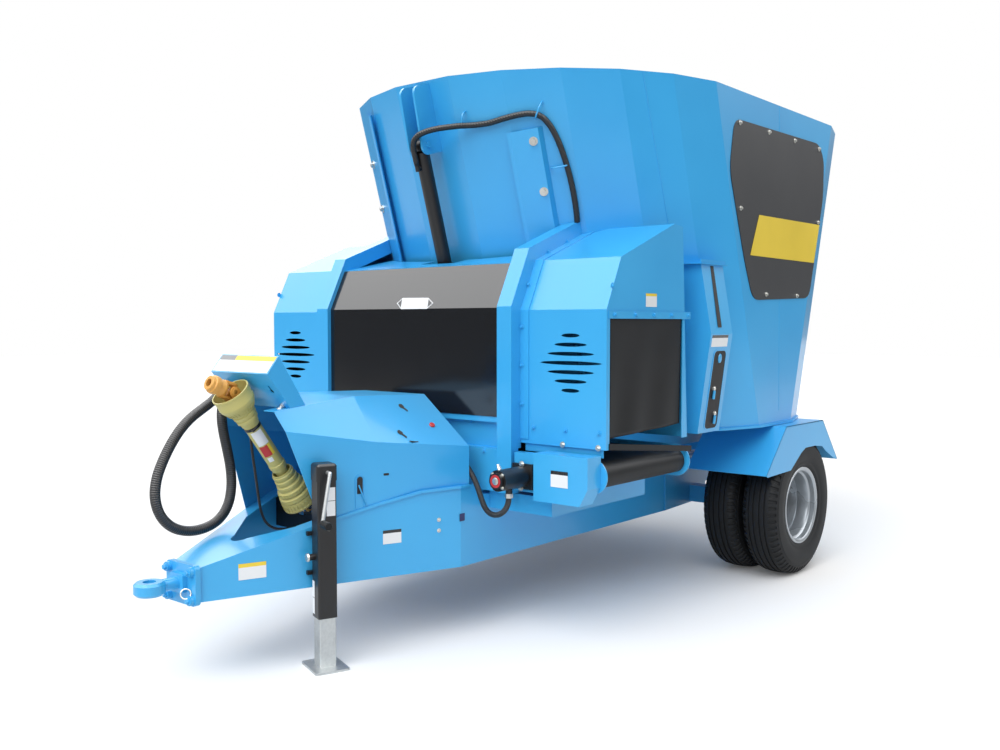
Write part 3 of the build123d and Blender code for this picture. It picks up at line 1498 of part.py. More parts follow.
# Counter knives: a blade at each side through the tub's slot, on a pin in its box
blade_outline = [
    (1100.0, 1180.0), (1100.0, 1560.0), (1030.0, 1610.0), (905.0, 1470.0), (880.0, 1330.0), (960.0, 1150.0),
]
blade_pin = (1070.0, 1230.0)
blade_pin_radius = 12.0
with BuildPart() as counter_knives:
    for side in (-1, 1):
        prism(
            Plane.XZ.offset(-ahead(knife_slot_ahead) - blade_sheet / 2),
            [(side * x, z) for x, z in blade_outline], blade_sheet,
        )
        rod(
            (side * blade_pin[0], box_y[0] + box_sheet + seat_gap, blade_pin[1]),
            (side * blade_pin[0], box_y[1] - box_sheet - seat_gap, blade_pin[1]), blade_pin_radius,
        )
save(counter_knives.part, "counter_knives")

# Dark plates on the tub's sides, under the rim
plate_corners = [
    # distance behind the axle, height
    (-758, 2518), (330, 2532), (409, 2447), (404, 2212), (218, 1608), (-523, 1583), (-630, 1798),
    (-806, 2251),
]
plate_sheet = 5.0
with BuildPart() as side_plates:
    tub_loft(seat_gap + plate_sheet)
    tub_loft(seat_gap, mode=Mode.SUBTRACT)
    prism(
        Plane.YZ.offset(-tub_radius - hood_half), [(axle_y + y, z) for y, z in plate_corners],
        2 * (tub_radius + hood_half), mode=Mode.INTERSECT,
    )
save(side_plates.part, "side_plates")


def swept(route, radius):
    """A tube along a route, each corner rounded as far as its two runs allow."""
    points = [Vector(*p) for p in route]
    radii = []
    for a, b, c in zip(points, points[1:], points[2:]):
        turn = radians((b - a).get_angle(c - b))
        short = min((b - a).length, (c - b).length)
        radii.append(0.45 * short / tan(turn / 2))
    with BuildLine() as path:
        FilletPolyline(*points, radius=radii)
    run = path.wires()[0]
    with BuildSketch(Plane(run @ 0, z_dir=run % 0)) as section:
        Circle(radius)
    sweep(section.sketch, path=run)
    print("diameter", 2 * radius, "length", round(run.length), "radii", [round(r) for r in radii])


# Hose of the gate's cylinder: over the ear and along the front facets, down to the arch
gate_hose_radius = 10.0
clip_gap = 7.0
gate_hose_start = [
    # X, distance along the wall, distance out from it
    (0, port_head, port_out), (0, 1500, port_out), (4, 1545, 155), (22, 1583, 158), (58, 1606, 152),
    (102, 1616, 132), (146, 1618, 104), (190, 1615, 70), (232, 1611, 36),
]
gate_hose_run = [
    # X, height, beside the facets
    (278, 2431), (364, 2434), (430, 2448), (497, 2461), (545, 2468), (583, 2464), (612, 2445),
    (634, 2408), (650, 2362), (662, 2310), (673, 2240), (680, 2169), (683, 2100), (683, 2032),
    (680, 1975), (675, 1925), (670, 1880),
]
with BuildPart() as gate_hose:
    swept(
        [on_front(x, along, out) for x, along, out in gate_hose_start]
        + [facet_point(x, z, gate_hose_radius + clip_gap) for x, z in gate_hose_run],
        gate_hose_radius,
    )
    arch_over = shifted(arch_run, seat_gap)
    prism(
        Plane.YZ.offset(hood_inner),
        arch_over + [(arch_over[-1][0] + 200, arch_over[-1][1]), (arch_over[-1][0] + 200, arch_foot_z)],
        2 * arch_width, mode=Mode.SUBTRACT,
    )
save(main_solid(gate_hose.part), "gate_hose")

# Hose loop of the tractor's side, hung from the bracket
bundle_radius = 22.0
bundle_route = [
    (-112, 2949.2, 1184.6), (-112, 2985, 1156), (-114, 3012, 1112), (-120, 3016, 1050), (-132, 2998, 980),
    (-146, 2970, 900), (-156, 2946, 815), (-163, 2938, 730), (-167, 2954, 650), (-169, 3002, 592),
    (-170, 3076, 566), (-170, 3158, 566), (-169, 3234, 594), (-168, 3290, 652), (-168, 3314, 730),
    (-168, 3304, 810), (-168, 3274, 880), (-168, 3236, 945), (-168, 3192, 1004), (-168, 3140, 1052),
    (-168, 3080, 1088), (-168, 3022, 1122), (-168, 2984, 1156.6), (-168, 2949.2, 1184.6),
]
with BuildPart() as hose_loop:
    swept([(x, ahead(d), z) for x, d, z in bundle_route], bundle_radius)
save(hose_loop.part, "hose_loop")

# Thin control cable, hung from the bracket
cable_radius = 6.0
cable_route = [
    (-68, 2891.4, 1111.5), (-68, 2905, 1100.5), (-69, 2912, 1072), (-71, 2908, 1020), (-74, 2898, 950),
    (-79, 2886, 880), (-86, 2870, 810), (-97, 2852, 740), (-112, 2832, 670), (-128, 2808, 604),
    (-143, 2772, 548), (-154, 2718, 512), (-160, 2656, 500), (-161, 2606, 498), (-161, 2560.3, 498),
]
with BuildPart() as control_cable:
    swept([(x, ahead(d), z) for x, d, z in cable_route], cable_radius)
save(control_cable.part, "control_cable")

# Hose from the conveyor's motor to the front beam
with BuildPart() as motor_hose:
    swept(motor_hose_route, motor_hose_radius)
save(motor_hose.part, "motor_hose")
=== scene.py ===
from math import cos, pi, radians, sin

import bmesh
import bpy
from mathutils import Matrix, Vector


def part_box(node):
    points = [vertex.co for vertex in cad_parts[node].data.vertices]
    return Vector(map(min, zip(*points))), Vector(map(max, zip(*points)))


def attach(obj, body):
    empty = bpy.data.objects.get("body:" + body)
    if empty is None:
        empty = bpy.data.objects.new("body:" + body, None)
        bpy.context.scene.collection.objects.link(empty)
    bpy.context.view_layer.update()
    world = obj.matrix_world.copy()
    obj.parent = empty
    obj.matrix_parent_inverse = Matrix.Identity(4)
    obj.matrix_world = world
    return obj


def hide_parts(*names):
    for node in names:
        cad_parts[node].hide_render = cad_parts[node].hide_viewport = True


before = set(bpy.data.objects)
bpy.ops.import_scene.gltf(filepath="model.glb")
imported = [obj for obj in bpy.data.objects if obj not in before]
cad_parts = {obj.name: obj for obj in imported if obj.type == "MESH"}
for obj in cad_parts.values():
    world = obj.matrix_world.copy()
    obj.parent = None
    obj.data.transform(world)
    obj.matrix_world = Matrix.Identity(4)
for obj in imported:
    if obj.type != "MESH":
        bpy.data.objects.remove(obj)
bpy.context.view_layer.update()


# Studio: the camera of the photo, a pale floor that runs on into a white background, a soft sky and
# one broad sun. The floor keeps the wagon's shadow, and the white is only for what looks straight at
# the sky.
scene = bpy.context.scene
scene.view_settings.view_transform = "Standard"

camera = bpy.data.objects.new("camera", bpy.data.cameras.new("camera"))
scene.collection.objects.link(camera)
camera.location = (3.585, -4.5345, 1.458)
camera.rotation_euler = (radians(87.042), 0, radians(40.016))
camera.data.sensor_width = 36
camera.data.lens = 36.047
scene.camera = camera


def shader_node(tree, kind, values=None, **settings):
    """A shader node with its settings, and the values of its inputs by name."""
    made = tree.nodes.new(kind)
    for setting, choice in settings.items():
        setattr(made, setting, choice)
    for socket, value in (values or {}).items():
        made.inputs[socket].default_value = value
    return made


sky = bpy.data.worlds.new("sky")
scene.world = sky
sky.use_nodes = True
sky_tree, sky_link = sky.node_tree, sky.node_tree.links.new
backdrop = sky_tree.nodes["Background"]
backdrop.inputs["Color"].default_value = (1, 1, 1, 1)
seen = shader_node(sky_tree, "ShaderNodeLightPath")
looks = shader_node(sky_tree, "ShaderNodeMath", operation="MAXIMUM")
sky_link(seen.outputs["Is Camera Ray"], looks.inputs[0])
sky_link(seen.outputs["Is Transmission Ray"], looks.inputs[1])
direction = shader_node(sky_tree, "ShaderNodeTexCoord")
height = shader_node(sky_tree, "ShaderNodeSeparateXYZ")
sky_link(direction.outputs["Generated"], height.inputs["Vector"])


def overcast(low, high, start, end):
    """Brightness of an overcast sky that grows from the horizon to the zenith."""
    rise = shader_node(
        sky_tree, "ShaderNodeMapRange", {"From Min": start, "From Max": end, "To Min": low, "To Max": high},
        interpolation_type="SMOOTHSTEP",
    )
    sky_link(height.outputs["Z"], rise.inputs["Value"])
    return rise.outputs[0]


def chosen(share, without, with_it):
    """One brightness or another, by the kind of ray."""
    choice = shader_node(sky_tree, "ShaderNodeMix")
    sky_link(share, choice.inputs["Factor"])
    sky_link(without, choice.inputs["A"])
    sky_link(with_it, choice.inputs["B"])
    return choice.outputs["Result"]


lit = overcast(0.26, 1.0, -0.1, 0.9)
mirrored = overcast(0.14, 4.6, 0.05, 0.75)
white = shader_node(sky_tree, "ShaderNodeValue")
white.outputs[0].default_value = 1.0
surface = chosen(seen.outputs["Is Glossy Ray"], lit, mirrored)
sky_link(chosen(looks.outputs[0], surface, white.outputs[0]), backdrop.inputs["Strength"])

sun = bpy.data.objects.new("sun", bpy.data.lights.new("sun", "SUN"))
scene.collection.objects.link(sun)
sun.data.energy = 2.3
sun.data.angle = radians(55)
sun.rotation_euler = (radians(45), 0, radians(12))

floor_low, floor_high = (-40.0, -9.0), (9.0, 40.0)
floor_mesh = bpy.data.meshes.new("floor")
floor_mesh.from_pydata(
    [(floor_low[0], floor_low[1], 0), (floor_high[0], floor_low[1], 0),
     (floor_high[0], floor_high[1], 0), (floor_low[0], floor_high[1], 0)],
    [], [(0, 1, 2, 3)],
)
floor = bpy.data.objects.new("floor", floor_mesh)
scene.collection.objects.link(floor)
floor_paint = bpy.data.materials.new("floor_paint")
floor_paint.use_nodes = True
floor_tree, floor_link = floor_paint.node_tree, floor_paint.node_tree.links.new
floor_tree.nodes.remove(floor_tree.nodes["Principled BSDF"])
plain = shader_node(floor_tree, "ShaderNodeBsdfDiffuse", {"Color": (0.86, 0.86, 0.86, 1)})
glow = shader_node(floor_tree, "ShaderNodeEmission", {"Strength": 0.06})
lifted = shader_node(floor_tree, "ShaderNodeAddShader")
floor_link(plain.outputs[0], lifted.inputs[0])
floor_link(glow.outputs[0], lifted.inputs[1])
ray = shader_node(floor_tree, "ShaderNodeLightPath")
choose = shader_node(floor_tree, "ShaderNodeMixShader")
floor_link(ray.outputs["Is Camera Ray"], choose.inputs["Fac"])
floor_link(plain.outputs[0], choose.inputs[1])
floor_link(lifted.outputs[0], choose.inputs[2])
floor_link(choose.outputs[0], floor_tree.nodes["Material Output"].inputs["Surface"])
floor_mesh.materials.append(floor_paint)


# Hydraulic hoses and cables that hang free: a wrapped bundle in a loop beside the drive shaft, a
# thin cable from the console down to the frame, and the conveyor motor's hose. Black rubber, the
# thick ones in a spiral nylon wrap, screwed into glands.
axle = 1.0165


def place(x, ahead, z):
    """A point given in mm as x, distance ahead of the axle, and height."""
    return Vector((x / 1000, axle - ahead / 1000, z / 1000))


def new_material(name):
    """A material with its tree of nodes."""
    material = bpy.data.materials.new(name)
    material.use_nodes = True
    return material


def two_tones(tree, share, dark, light):
    """Base colour between two tones, by a share from 0 to 1."""
    tone = shader_node(tree, "ShaderNodeMix", {"A": (*dark, 1), "B": (*light, 1)}, data_type="RGBA")
    tree.links.new(share, tone.inputs["Factor"])
    tree.links.new(tone.outputs["Result"], tree.nodes["Principled BSDF"].inputs["Base Color"])


def raised(tree, height, strength, distance):
    """Fine relief from a height."""
    bump = shader_node(tree, "ShaderNodeBump", {"Strength": strength, "Distance": distance})
    tree.links.new(height, bump.inputs["Height"])
    tree.links.new(bump.outputs["Normal"], tree.nodes["Principled BSDF"].inputs["Normal"])


def black_hose(name, twist, depth):
    """Black rubber with the ribs of a spiral wrap along it, from the curve's own length coordinate."""
    hose = new_material(name)
    tree = hose.node_tree
    tree.nodes["Principled BSDF"].inputs["Roughness"].default_value = 0.38
    along = shader_node(tree, "ShaderNodeTexCoord")
    ribs = shader_node(tree, "ShaderNodeTexWave", {"Scale": twist, "Distortion": 0.4}, bands_direction="X")
    tree.links.new(along.outputs["UV"], ribs.inputs["Vector"])
    # Grooves of the wrap darker than its crests: painted shade, from the same ribs as the relief
    two_tones(tree, ribs.outputs["Fac"], (0.008, 0.008, 0.009), (0.028, 0.028, 0.030))
    raised(tree, ribs.outputs["Fac"], 0.8, depth)
    return hose


def hose_curve(name, route, radius, material):
    """A hose on a smooth line through its route of points."""
    curve = bpy.data.curves.new(name, "CURVE")
    curve.dimensions = "3D"
    line = curve.splines.new("NURBS")
    line.points.add(len(route) - 1)
    for point, spot in zip(line.points, route):
        point.co = (*spot, 1)
    line.order_u = 3
    line.use_endpoint_u = True
    line.resolution_u = 8
    curve.bevel_depth = radius
    curve.bevel_resolution = 5
    curve.use_fill_caps = True
    curve.materials.append(material)
    hose = bpy.data.objects.new(name, curve)
    scene.collection.objects.link(hose)
    return hose


bundle_route = [
    (-112, 2949.2, 1184.6), (-112, 2985, 1156), (-114, 3012, 1112), (-120, 3016, 1050), (-132, 2998, 980),
    (-146, 2970, 900), (-156, 2946, 815), (-163, 2938, 730), (-167, 2954, 650), (-169, 3002, 592),
    (-170, 3076, 566), (-170, 3158, 566), (-169, 3234, 594), (-168, 3290, 652), (-168, 3314, 730),
    (-168, 3304, 810), (-168, 3274, 880), (-168, 3236, 945), (-168, 3192, 1004), (-168, 3140, 1052),
    (-168, 3080, 1088), (-168, 3022, 1122), (-168, 2984, 1156.6), (-168, 2949.2, 1184.6),
]
cable_route = [
    (-68, 2891.4, 1111.5), (-68, 2905, 1100.5), (-69, 2912, 1072), (-71, 2908, 1020), (-74, 2898, 950),
    (-79, 2886, 880), (-86, 2870, 810), (-97, 2852, 740), (-112, 2832, 670), (-128, 2808, 604),
    (-143, 2772, 548), (-154, 2718, 512), (-160, 2656, 500), (-161, 2606, 498), (-161, 2560.3, 498),
]
motor_route = [
    (752, 2114.3, 696), (752, 2114.3, 664), (736, 2113, 626), (705, 2111, 598), (666, 2108, 585),
    (626, 2104, 590), (594, 2100, 614), (571, 2095, 650), (549, 2090, 688), (524, 2083, 725),
    (493, 2075, 756), (460, 2064, 780), (428, 2048, 796), (400, 2029, 806),
]
wrapped_hose = black_hose("wrapped_hose", 60, 0.002)
plain_cable = black_hose("plain_cable", 400, 0.0004)
for name, node, route, radius, length, stiffness, material in (
    ("hose_bundle", "hose_loop", bundle_route, 0.022, 1.65, "medium", wrapped_hose),
    ("thin_cable", "control_cable", cable_route, 0.006, 0.82, "limp", plain_cable),
    ("motor_supply", "motor_hose", motor_route, 0.013, 0.527, "medium", wrapped_hose),
):
    hose = hose_curve(name, [place(*spot) for spot in route], radius, material)
    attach(hose, "wagon")
    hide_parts(node)


# Rubber flaps in both ends of the hood: belting hung from a clamp strip, a little waved by its
# own weight, cut straight at its foot.
def noise(tree, scale, detail=2):
    """Noise on the piece's own coordinates."""
    where = shader_node(tree, "ShaderNodeTexCoord")
    cloud = shader_node(tree, "ShaderNodeTexNoise", {"Scale": scale, "Detail": detail})
    tree.links.new(where.outputs["Object"], cloud.inputs["Vector"])
    return cloud.outputs["Fac"]


def dulled(tree, share, low, high):
    """Roughness between two values, by a share from 0 to 1."""
    span = shader_node(tree, "ShaderNodeMapRange", {"To Min": low, "To Max": high})
    tree.links.new(share, span.inputs["Value"])
    tree.links.new(span.outputs[0], tree.nodes["Principled BSDF"].inputs["Roughness"])


def black_rubber(name, roughness):
    """Moulded or rolled black rubber with a grey bloom and a fine grain."""
    rubber = new_material(name)
    tree = rubber.node_tree
    tree.nodes["Principled BSDF"].inputs["Specular IOR Level"].default_value = 0.2
    bloom = noise(tree, 6, 6)
    two_tones(tree, bloom, (0.006, 0.007, 0.008), (0.015, 0.016, 0.018))
    raised(tree, noise(tree, 420), 0.25, 0.0006)
    dulled(tree, bloom, roughness - 0.08, roughness + 0.12)
    return rubber


belting = black_rubber("rubber_belting", 0.45)
flap_columns, flap_levels = 48, 36
for side, node in ((1, "flap_left"), (-1, "flap_right")):
    low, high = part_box(node)
    mesh = bpy.data.meshes.new(node + "_sheet")
    middle = (low[0] + high[0]) / 2
    points = []
    for j in range(flap_levels + 1):
        for i in range(flap_columns + 1):
            share, drop = i / flap_columns, j / flap_levels
            foot = low[2] + 0.023 * share
            z = high[2] + (foot - high[2]) * drop
            wave = 0.0035 * drop * sin(2 * pi * (2.3 * share + 0.35 * drop) + 1.1)
            belly = -0.004 * sin(pi * drop) * sin(pi * share)
            x = middle + side * (wave + belly - 0.002 * drop)
            points.append((x, low[1] + (high[1] - low[1]) * share, z))
    row = flap_columns + 1
    faces = []
    for j in range(flap_levels):
        for i in range(flap_columns):
            corner = j * row + i
            face = (corner, corner + 1, corner + row + 1, corner + row)
            faces.append(face if side < 0 else face[::-1])
    mesh.from_pydata(points, [], faces)
    mesh.polygons.foreach_set("use_smooth", [True] * len(mesh.polygons))
    mesh.materials.append(belting)
    flap = bpy.data.objects.new("rubber_" + node, mesh)
    scene.collection.objects.link(flap)
    body = flap.modifiers.new("thickness", "SOLIDIFY")
    body.thickness = 0.005
    body.offset = 0
    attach(flap, "wagon")
    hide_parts(node)


# Paint: blue two-pack gloss on every folded and welded part, sprayed over the welds, and blacks and
# a grey on the panels, the bought-in parts and the gearbox
def sprayed_paint(name, colour, shade, roughness, coat):
    """Sprayed paint: slow shifts of shade, a faint orange peel, and a gloss that dulls in patches."""
    paint = new_material(name)
    tree, shader = paint.node_tree, paint.node_tree.nodes["Principled BSDF"]
    drift = noise(tree, 1.7, 4)
    spread = shader_node(tree, "ShaderNodeMapRange", {"From Min": 0.3, "From Max": 0.65})
    tree.links.new(drift, spread.inputs["Value"])
    two_tones(tree, spread.outputs[0], shade, colour)
    raised(tree, noise(tree, 160), 0.12, 0.0006)
    dulled(tree, drift, roughness - 0.06, roughness + 0.10)
    shader.inputs["Coat Weight"].default_value = coat
    shader.inputs["Coat Roughness"].default_value = 0.12
    return paint


def coat(material, *names):
    """Give CAD nodes their material."""
    for name in names:
        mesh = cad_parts[name].data
        mesh.materials.clear()
        mesh.materials.append(material)


blue = sprayed_paint("blue_paint", (0.042, 0.380, 0.740), (0.035, 0.345, 0.700), 0.30, 0.25)
coat(
    blue, "tub_shell", "tub_floor", "gate_panel", "gate_ears", "gate_guides", "hood_left", "hood_right",
    "arch_left", "arch_right", "centre_roof", "front_beam", "conveyor_frame", "chain_cover", "drawbar_frame",
    "chassis_rails", "headstock", "tow_eye", "driveline_cover", "control_console", "axle_beam",
    "knife_boxes",
)
# The front panel is gloss black, the tub's side plates further down a duller dark grey
black_gloss = sprayed_paint("black_gloss", (0.006, 0.007, 0.009), (0.008, 0.009, 0.011), 0.16, 0.3)
coat(black_gloss, "centre_panel")
dark_satin = sprayed_paint("dark_satin", (0.022, 0.024, 0.028), (0.030, 0.032, 0.036), 0.42, 0.1)
# Bought-in parts in satin black: cylinder, motor, jack tube, bearing and hubs
satin_black_and_shade = sprayed_paint("satin_black_and_shade", (0.006, 0.006, 0.007), (0.009, 0.009, 0.010), 0.34, 0.0)
coat(
    satin_black_and_shade, "gate_barrel", "conveyor_motor", "jack_tube", "driveline_bearing", "hub_left", "hub_right"
)
grey_cast = sprayed_paint("cast_grey", (0.10, 0.11, 0.12), (0.08, 0.08, 0.09), 0.6, 0.0)
coat(grey_cast, "auger_gearbox")
coat(belting, "conveyor_belt")


# Steel without paint: galvanised parts with a soft spangle, ground shafts and rods, and the auger,
# whose flight is scoured bright in long arcs by the feed
def bare_metal(name, colour, shade, roughness, scale):
    """Steel with patches of two tones that also change its gloss."""
    metal = new_material(name)
    tree = metal.node_tree
    tree.nodes["Principled BSDF"].inputs["Metallic"].default_value = 0.9
    where = shader_node(tree, "ShaderNodeTexCoord")
    patches = shader_node(tree, "ShaderNodeTexVoronoi", {"Scale": scale})
    tree.links.new(where.outputs["Object"], patches.inputs["Vector"])
    blend = shader_node(tree, "ShaderNodeMath", {1: 0.35}, operation="MULTIPLY_ADD")
    tree.links.new(patches.outputs["Distance"], blend.inputs[0])
    tree.links.new(noise(tree, scale / 5, 5), blend.inputs[2])
    two_tones(tree, blend.outputs[0], shade, colour)
    dulled(tree, blend.outputs[0], roughness + 0.12, roughness - 0.05)
    return metal


zinc = bare_metal("galvanised", (0.56, 0.58, 0.58), (0.38, 0.40, 0.41), 0.42, 90)
coat(zinc, "load_cells", "jack_leg", "jack_crank")
ground_steel = bare_metal("ground_steel", (0.72, 0.73, 0.74), (0.60, 0.61, 0.62), 0.18, 30)
coat(ground_steel, "gate_rod", "conveyor_rollers", "driveline_shaft")
scoured_steel = bare_metal("scoured_steel", (0.26, 0.265, 0.27), (0.18, 0.185, 0.19), 0.42, 9)
coat(scoured_steel, "auger", "auger_knives", "counter_knives")


# Wheels: twin 16-inch tyres with plain ribs and notched shoulders, on silver drop-centre rims
# whose discs meet back to back between the tyres
x_way, y_way, z_way = Vector((1, 0, 0)), Vector((0, 1, 0)), Vector((0, 0, 1))


def turned_mesh(name, profile, centre, along, across, steps, limit=30):
    """A closed ring or bar from (distance along, radius) points, turned about a line."""
    mesh = bpy.data.meshes.new(name)
    side = along.cross(across)
    form = bmesh.new()
    rings = []
    for k in range(steps):
        turn = 2 * pi * k / steps
        out = across * cos(turn) + side * sin(turn)
        rings.append([form.verts.new(centre + along * d + out * r) for d, r in profile])
    for k in range(steps):
        near, far = rings[k], rings[(k + 1) % steps]
        for i in range(len(profile)):
            j = (i + 1) % len(profile)
            if profile[i][1] or profile[j][1]:
                form.faces.new((near[i], near[j], far[j], far[i]))
    bmesh.ops.remove_doubles(form, verts=form.verts, dist=1e-6)
    bmesh.ops.recalc_face_normals(form, faces=form.faces)
    form.to_mesh(mesh)
    form.free()
    mesh.shade_smooth()
    mesh.set_sharp_from_angle(angle=radians(limit))
    return mesh


def joined(name, meshes, limit=30):
    """Several closed meshes as one."""
    whole = bmesh.new()
    for part in meshes:
        whole.from_mesh(part)
        bpy.data.meshes.remove(part)
    mesh = bpy.data.meshes.new(name)
    whole.to_mesh(mesh)
    whole.free()
    mesh.shade_smooth()
    mesh.set_sharp_from_angle(angle=radians(limit))
    return mesh


def show(name, mesh, material, body, slot, *nodes):
    """Put a mesh on the object, on the body that carries it, in place of CAD nodes where they are named."""
    mesh.materials.clear()
    mesh.materials.append(material)
    piece = bpy.data.objects.new(name, mesh)
    scene.collection.objects.link(piece)
    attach(piece, body)
    if nodes:
        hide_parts(*nodes)
    return piece


tyre_rubber = black_rubber("tyre_rubber", 0.52)
silver = sprayed_paint("silver_paint", (0.36, 0.39, 0.42), (0.29, 0.32, 0.35), 0.26, 0.3)
silver.node_tree.nodes["Principled BSDF"].inputs["Metallic"].default_value = 0.55
wheel_z = 0.4025
tyre_middles = (1.1225, 0.8775)
disc_at = 1.0
# Half profile of the tyre from its middle outwards: (distance, radius, True where a notch bites)
tread = [
    (0.000, 0.4025, 0), (0.013, 0.4023, 0), (0.0145, 0.3960, 0), (0.0205, 0.3960, 0), (0.022, 0.4020, 0),
    (0.042, 0.4005, 0), (0.0435, 0.3940, 0), (0.0495, 0.3938, 0), (0.051, 0.3995, 0), (0.064, 0.3975, 0),
    (0.074, 0.3945, 1), (0.083, 0.3890, 1), (0.092, 0.3780, 1), (0.0985, 0.3650, 1), (0.101, 0.3590, 0),
    (0.1045, 0.3440, 0), (0.1050, 0.3430, 0), (0.1062, 0.3425, 0), (0.1068, 0.3300, 0), (0.1075, 0.3050, 0),
    (0.1066, 0.2850, 0), (0.1030, 0.2620, 0), (0.0985, 0.2480, 0), (0.0990, 0.2460, 0), (0.0975, 0.2400, 0),
    (0.0930, 0.2290, 0), (0.0880, 0.2215, 0), (0.0845, 0.2190, 0), (0.0800, 0.2060, 0),
]
lining = [(0.060, 0.2290), (0.080, 0.2880), (0.080, 0.3300), (0.066, 0.3600), (0.0, 0.3760)]
outline = (
    [(-x, r, n) for x, r, n in tread[:0:-1]] + tread + [(x, r, 0) for x, r in lining]
    + [(-x, r, 0) for x, r in lining[-2::-1]]
)
pitches = 64
stations = ((0.0, 1), (0.40, 1), (0.46, 0), (0.94, 0))
notch_depth = 0.006
for side, hand in ((1, "left"), (-1, "right")):
    for middle, spot in zip(tyre_middles, ("outer", "inner")):
        form = bmesh.new()
        rings = []
        for k in range(pitches):
            for share, bite in stations:
                turn = 2 * pi * (k + share) / pitches
                ring = []
                for x, r, notched in outline:
                    reach = r - notch_depth * bite * notched
                    inset = 0.6 * notch_depth * bite * notched * (1 if x > 0 else -1)
                    ring.append(form.verts.new((
                        side * (middle + x - inset), axle + reach * cos(turn), wheel_z + reach * sin(turn)
                    )))
                rings.append(ring)
        for near, far in zip(rings, rings[1:] + rings[:1]):
            for i in range(len(outline)):
                j = (i + 1) % len(outline)
                form.faces.new((near[i], near[j], far[j], far[i]))
        bmesh.ops.recalc_face_normals(form, faces=form.faces)
        mesh = bpy.data.meshes.new("tyre")
        form.to_mesh(mesh)
        form.free()
        mesh.shade_smooth()
        mesh.set_sharp_from_angle(angle=radians(38))
        node = f"tyre_{hand}_{spot}"
        show("ribbed_" + node, mesh, tyre_rubber, "wheel_" + hand, "tyre_rubber", node)

# Rims: silver-painted steel, stepped from flange to well, each welded to its dished disc; the discs
# of a pair are bolted together on the hub
rim_steps = [
    # distance from the tyre's middle, radius
    (0.0920, 0.2220), (0.0935, 0.2205), (0.0935, 0.2150), (0.0915, 0.2060), (0.0860, 0.1995),
    (0.0600, 0.1975), (0.0560, 0.1935), (0.0520, 0.1860), (0.0300, 0.1800), (-0.0300, 0.1790),
    (-0.0920, 0.1970), (-0.0935, 0.2150), (-0.0920, 0.2220), (-0.0860, 0.2220), (-0.0800, 0.2030),
    (-0.0300, 0.1910), (0.0300, 0.1910), (0.0800, 0.2030), (0.0860, 0.2220),
]
hub = Vector((0, axle, wheel_z))
for side, hand in ((1, "left"), (-1, "right")):
    parts = []
    for middle, way in zip(tyre_middles, (1, -1)):
        parts.append([(middle + way * x, r) for x, r in rim_steps])
        parts.append([
            (disc_at + way * 0.0010, 0.0760), (disc_at + way * 0.0010, 0.1480),
            (disc_at + way * 0.0180, 0.1620), (middle - way * 0.0260, 0.1760),
            (middle - way * 0.0150, 0.1800), (middle - way * 0.0150, 0.1740),
            (disc_at + way * 0.0240, 0.1560), (disc_at + way * 0.0100, 0.1420),
            (disc_at + way * 0.0100, 0.0760),
        ])
    parts.append([(disc_at - 0.002, 0.076), (disc_at - 0.002, 0.120), (disc_at + 0.002, 0.120),
                  (disc_at + 0.002, 0.076)])
    turned = [turned_mesh("rim_part", profile, hub, x_way * side, z_way, 96) for profile in parts]
    mesh = joined("rims", turned)
    show("stepped_rims_" + hand, mesh, silver, "wheel_" + hand, "wheel_silver", "rims_" + hand)

# Valve stems of the outer tyres: dull black, out through the slope of the outer discs, seated in
# their holes
# Dull black for the valve stems, and painted shade in the cover's cuts and the knife boxes' openings
black_and_hole_shade = sprayed_paint("black_and_hole_shade", (0.004, 0.004, 0.005), (0.006, 0.006, 0.007), 0.6, 0.0)
stem_profile = [(-0.004, 0), (-0.004, 0.008), (0.006, 0.008), (0.008, 0.0055), (0.040, 0.0050), (0.042, 0)]
for side, hand in ((1, "left"), (-1, "right")):
    stem_foot = Vector((side * 1.056, axle + 0.012, wheel_z - 0.172))
    stem = turned_mesh("valve_stem", stem_profile, stem_foot, Vector((side * 0.928, 0, 0.371)), y_way, 16)
    show("valve_stem_" + hand, stem, black_and_hole_shade, "wheel_" + hand, "black_metal")


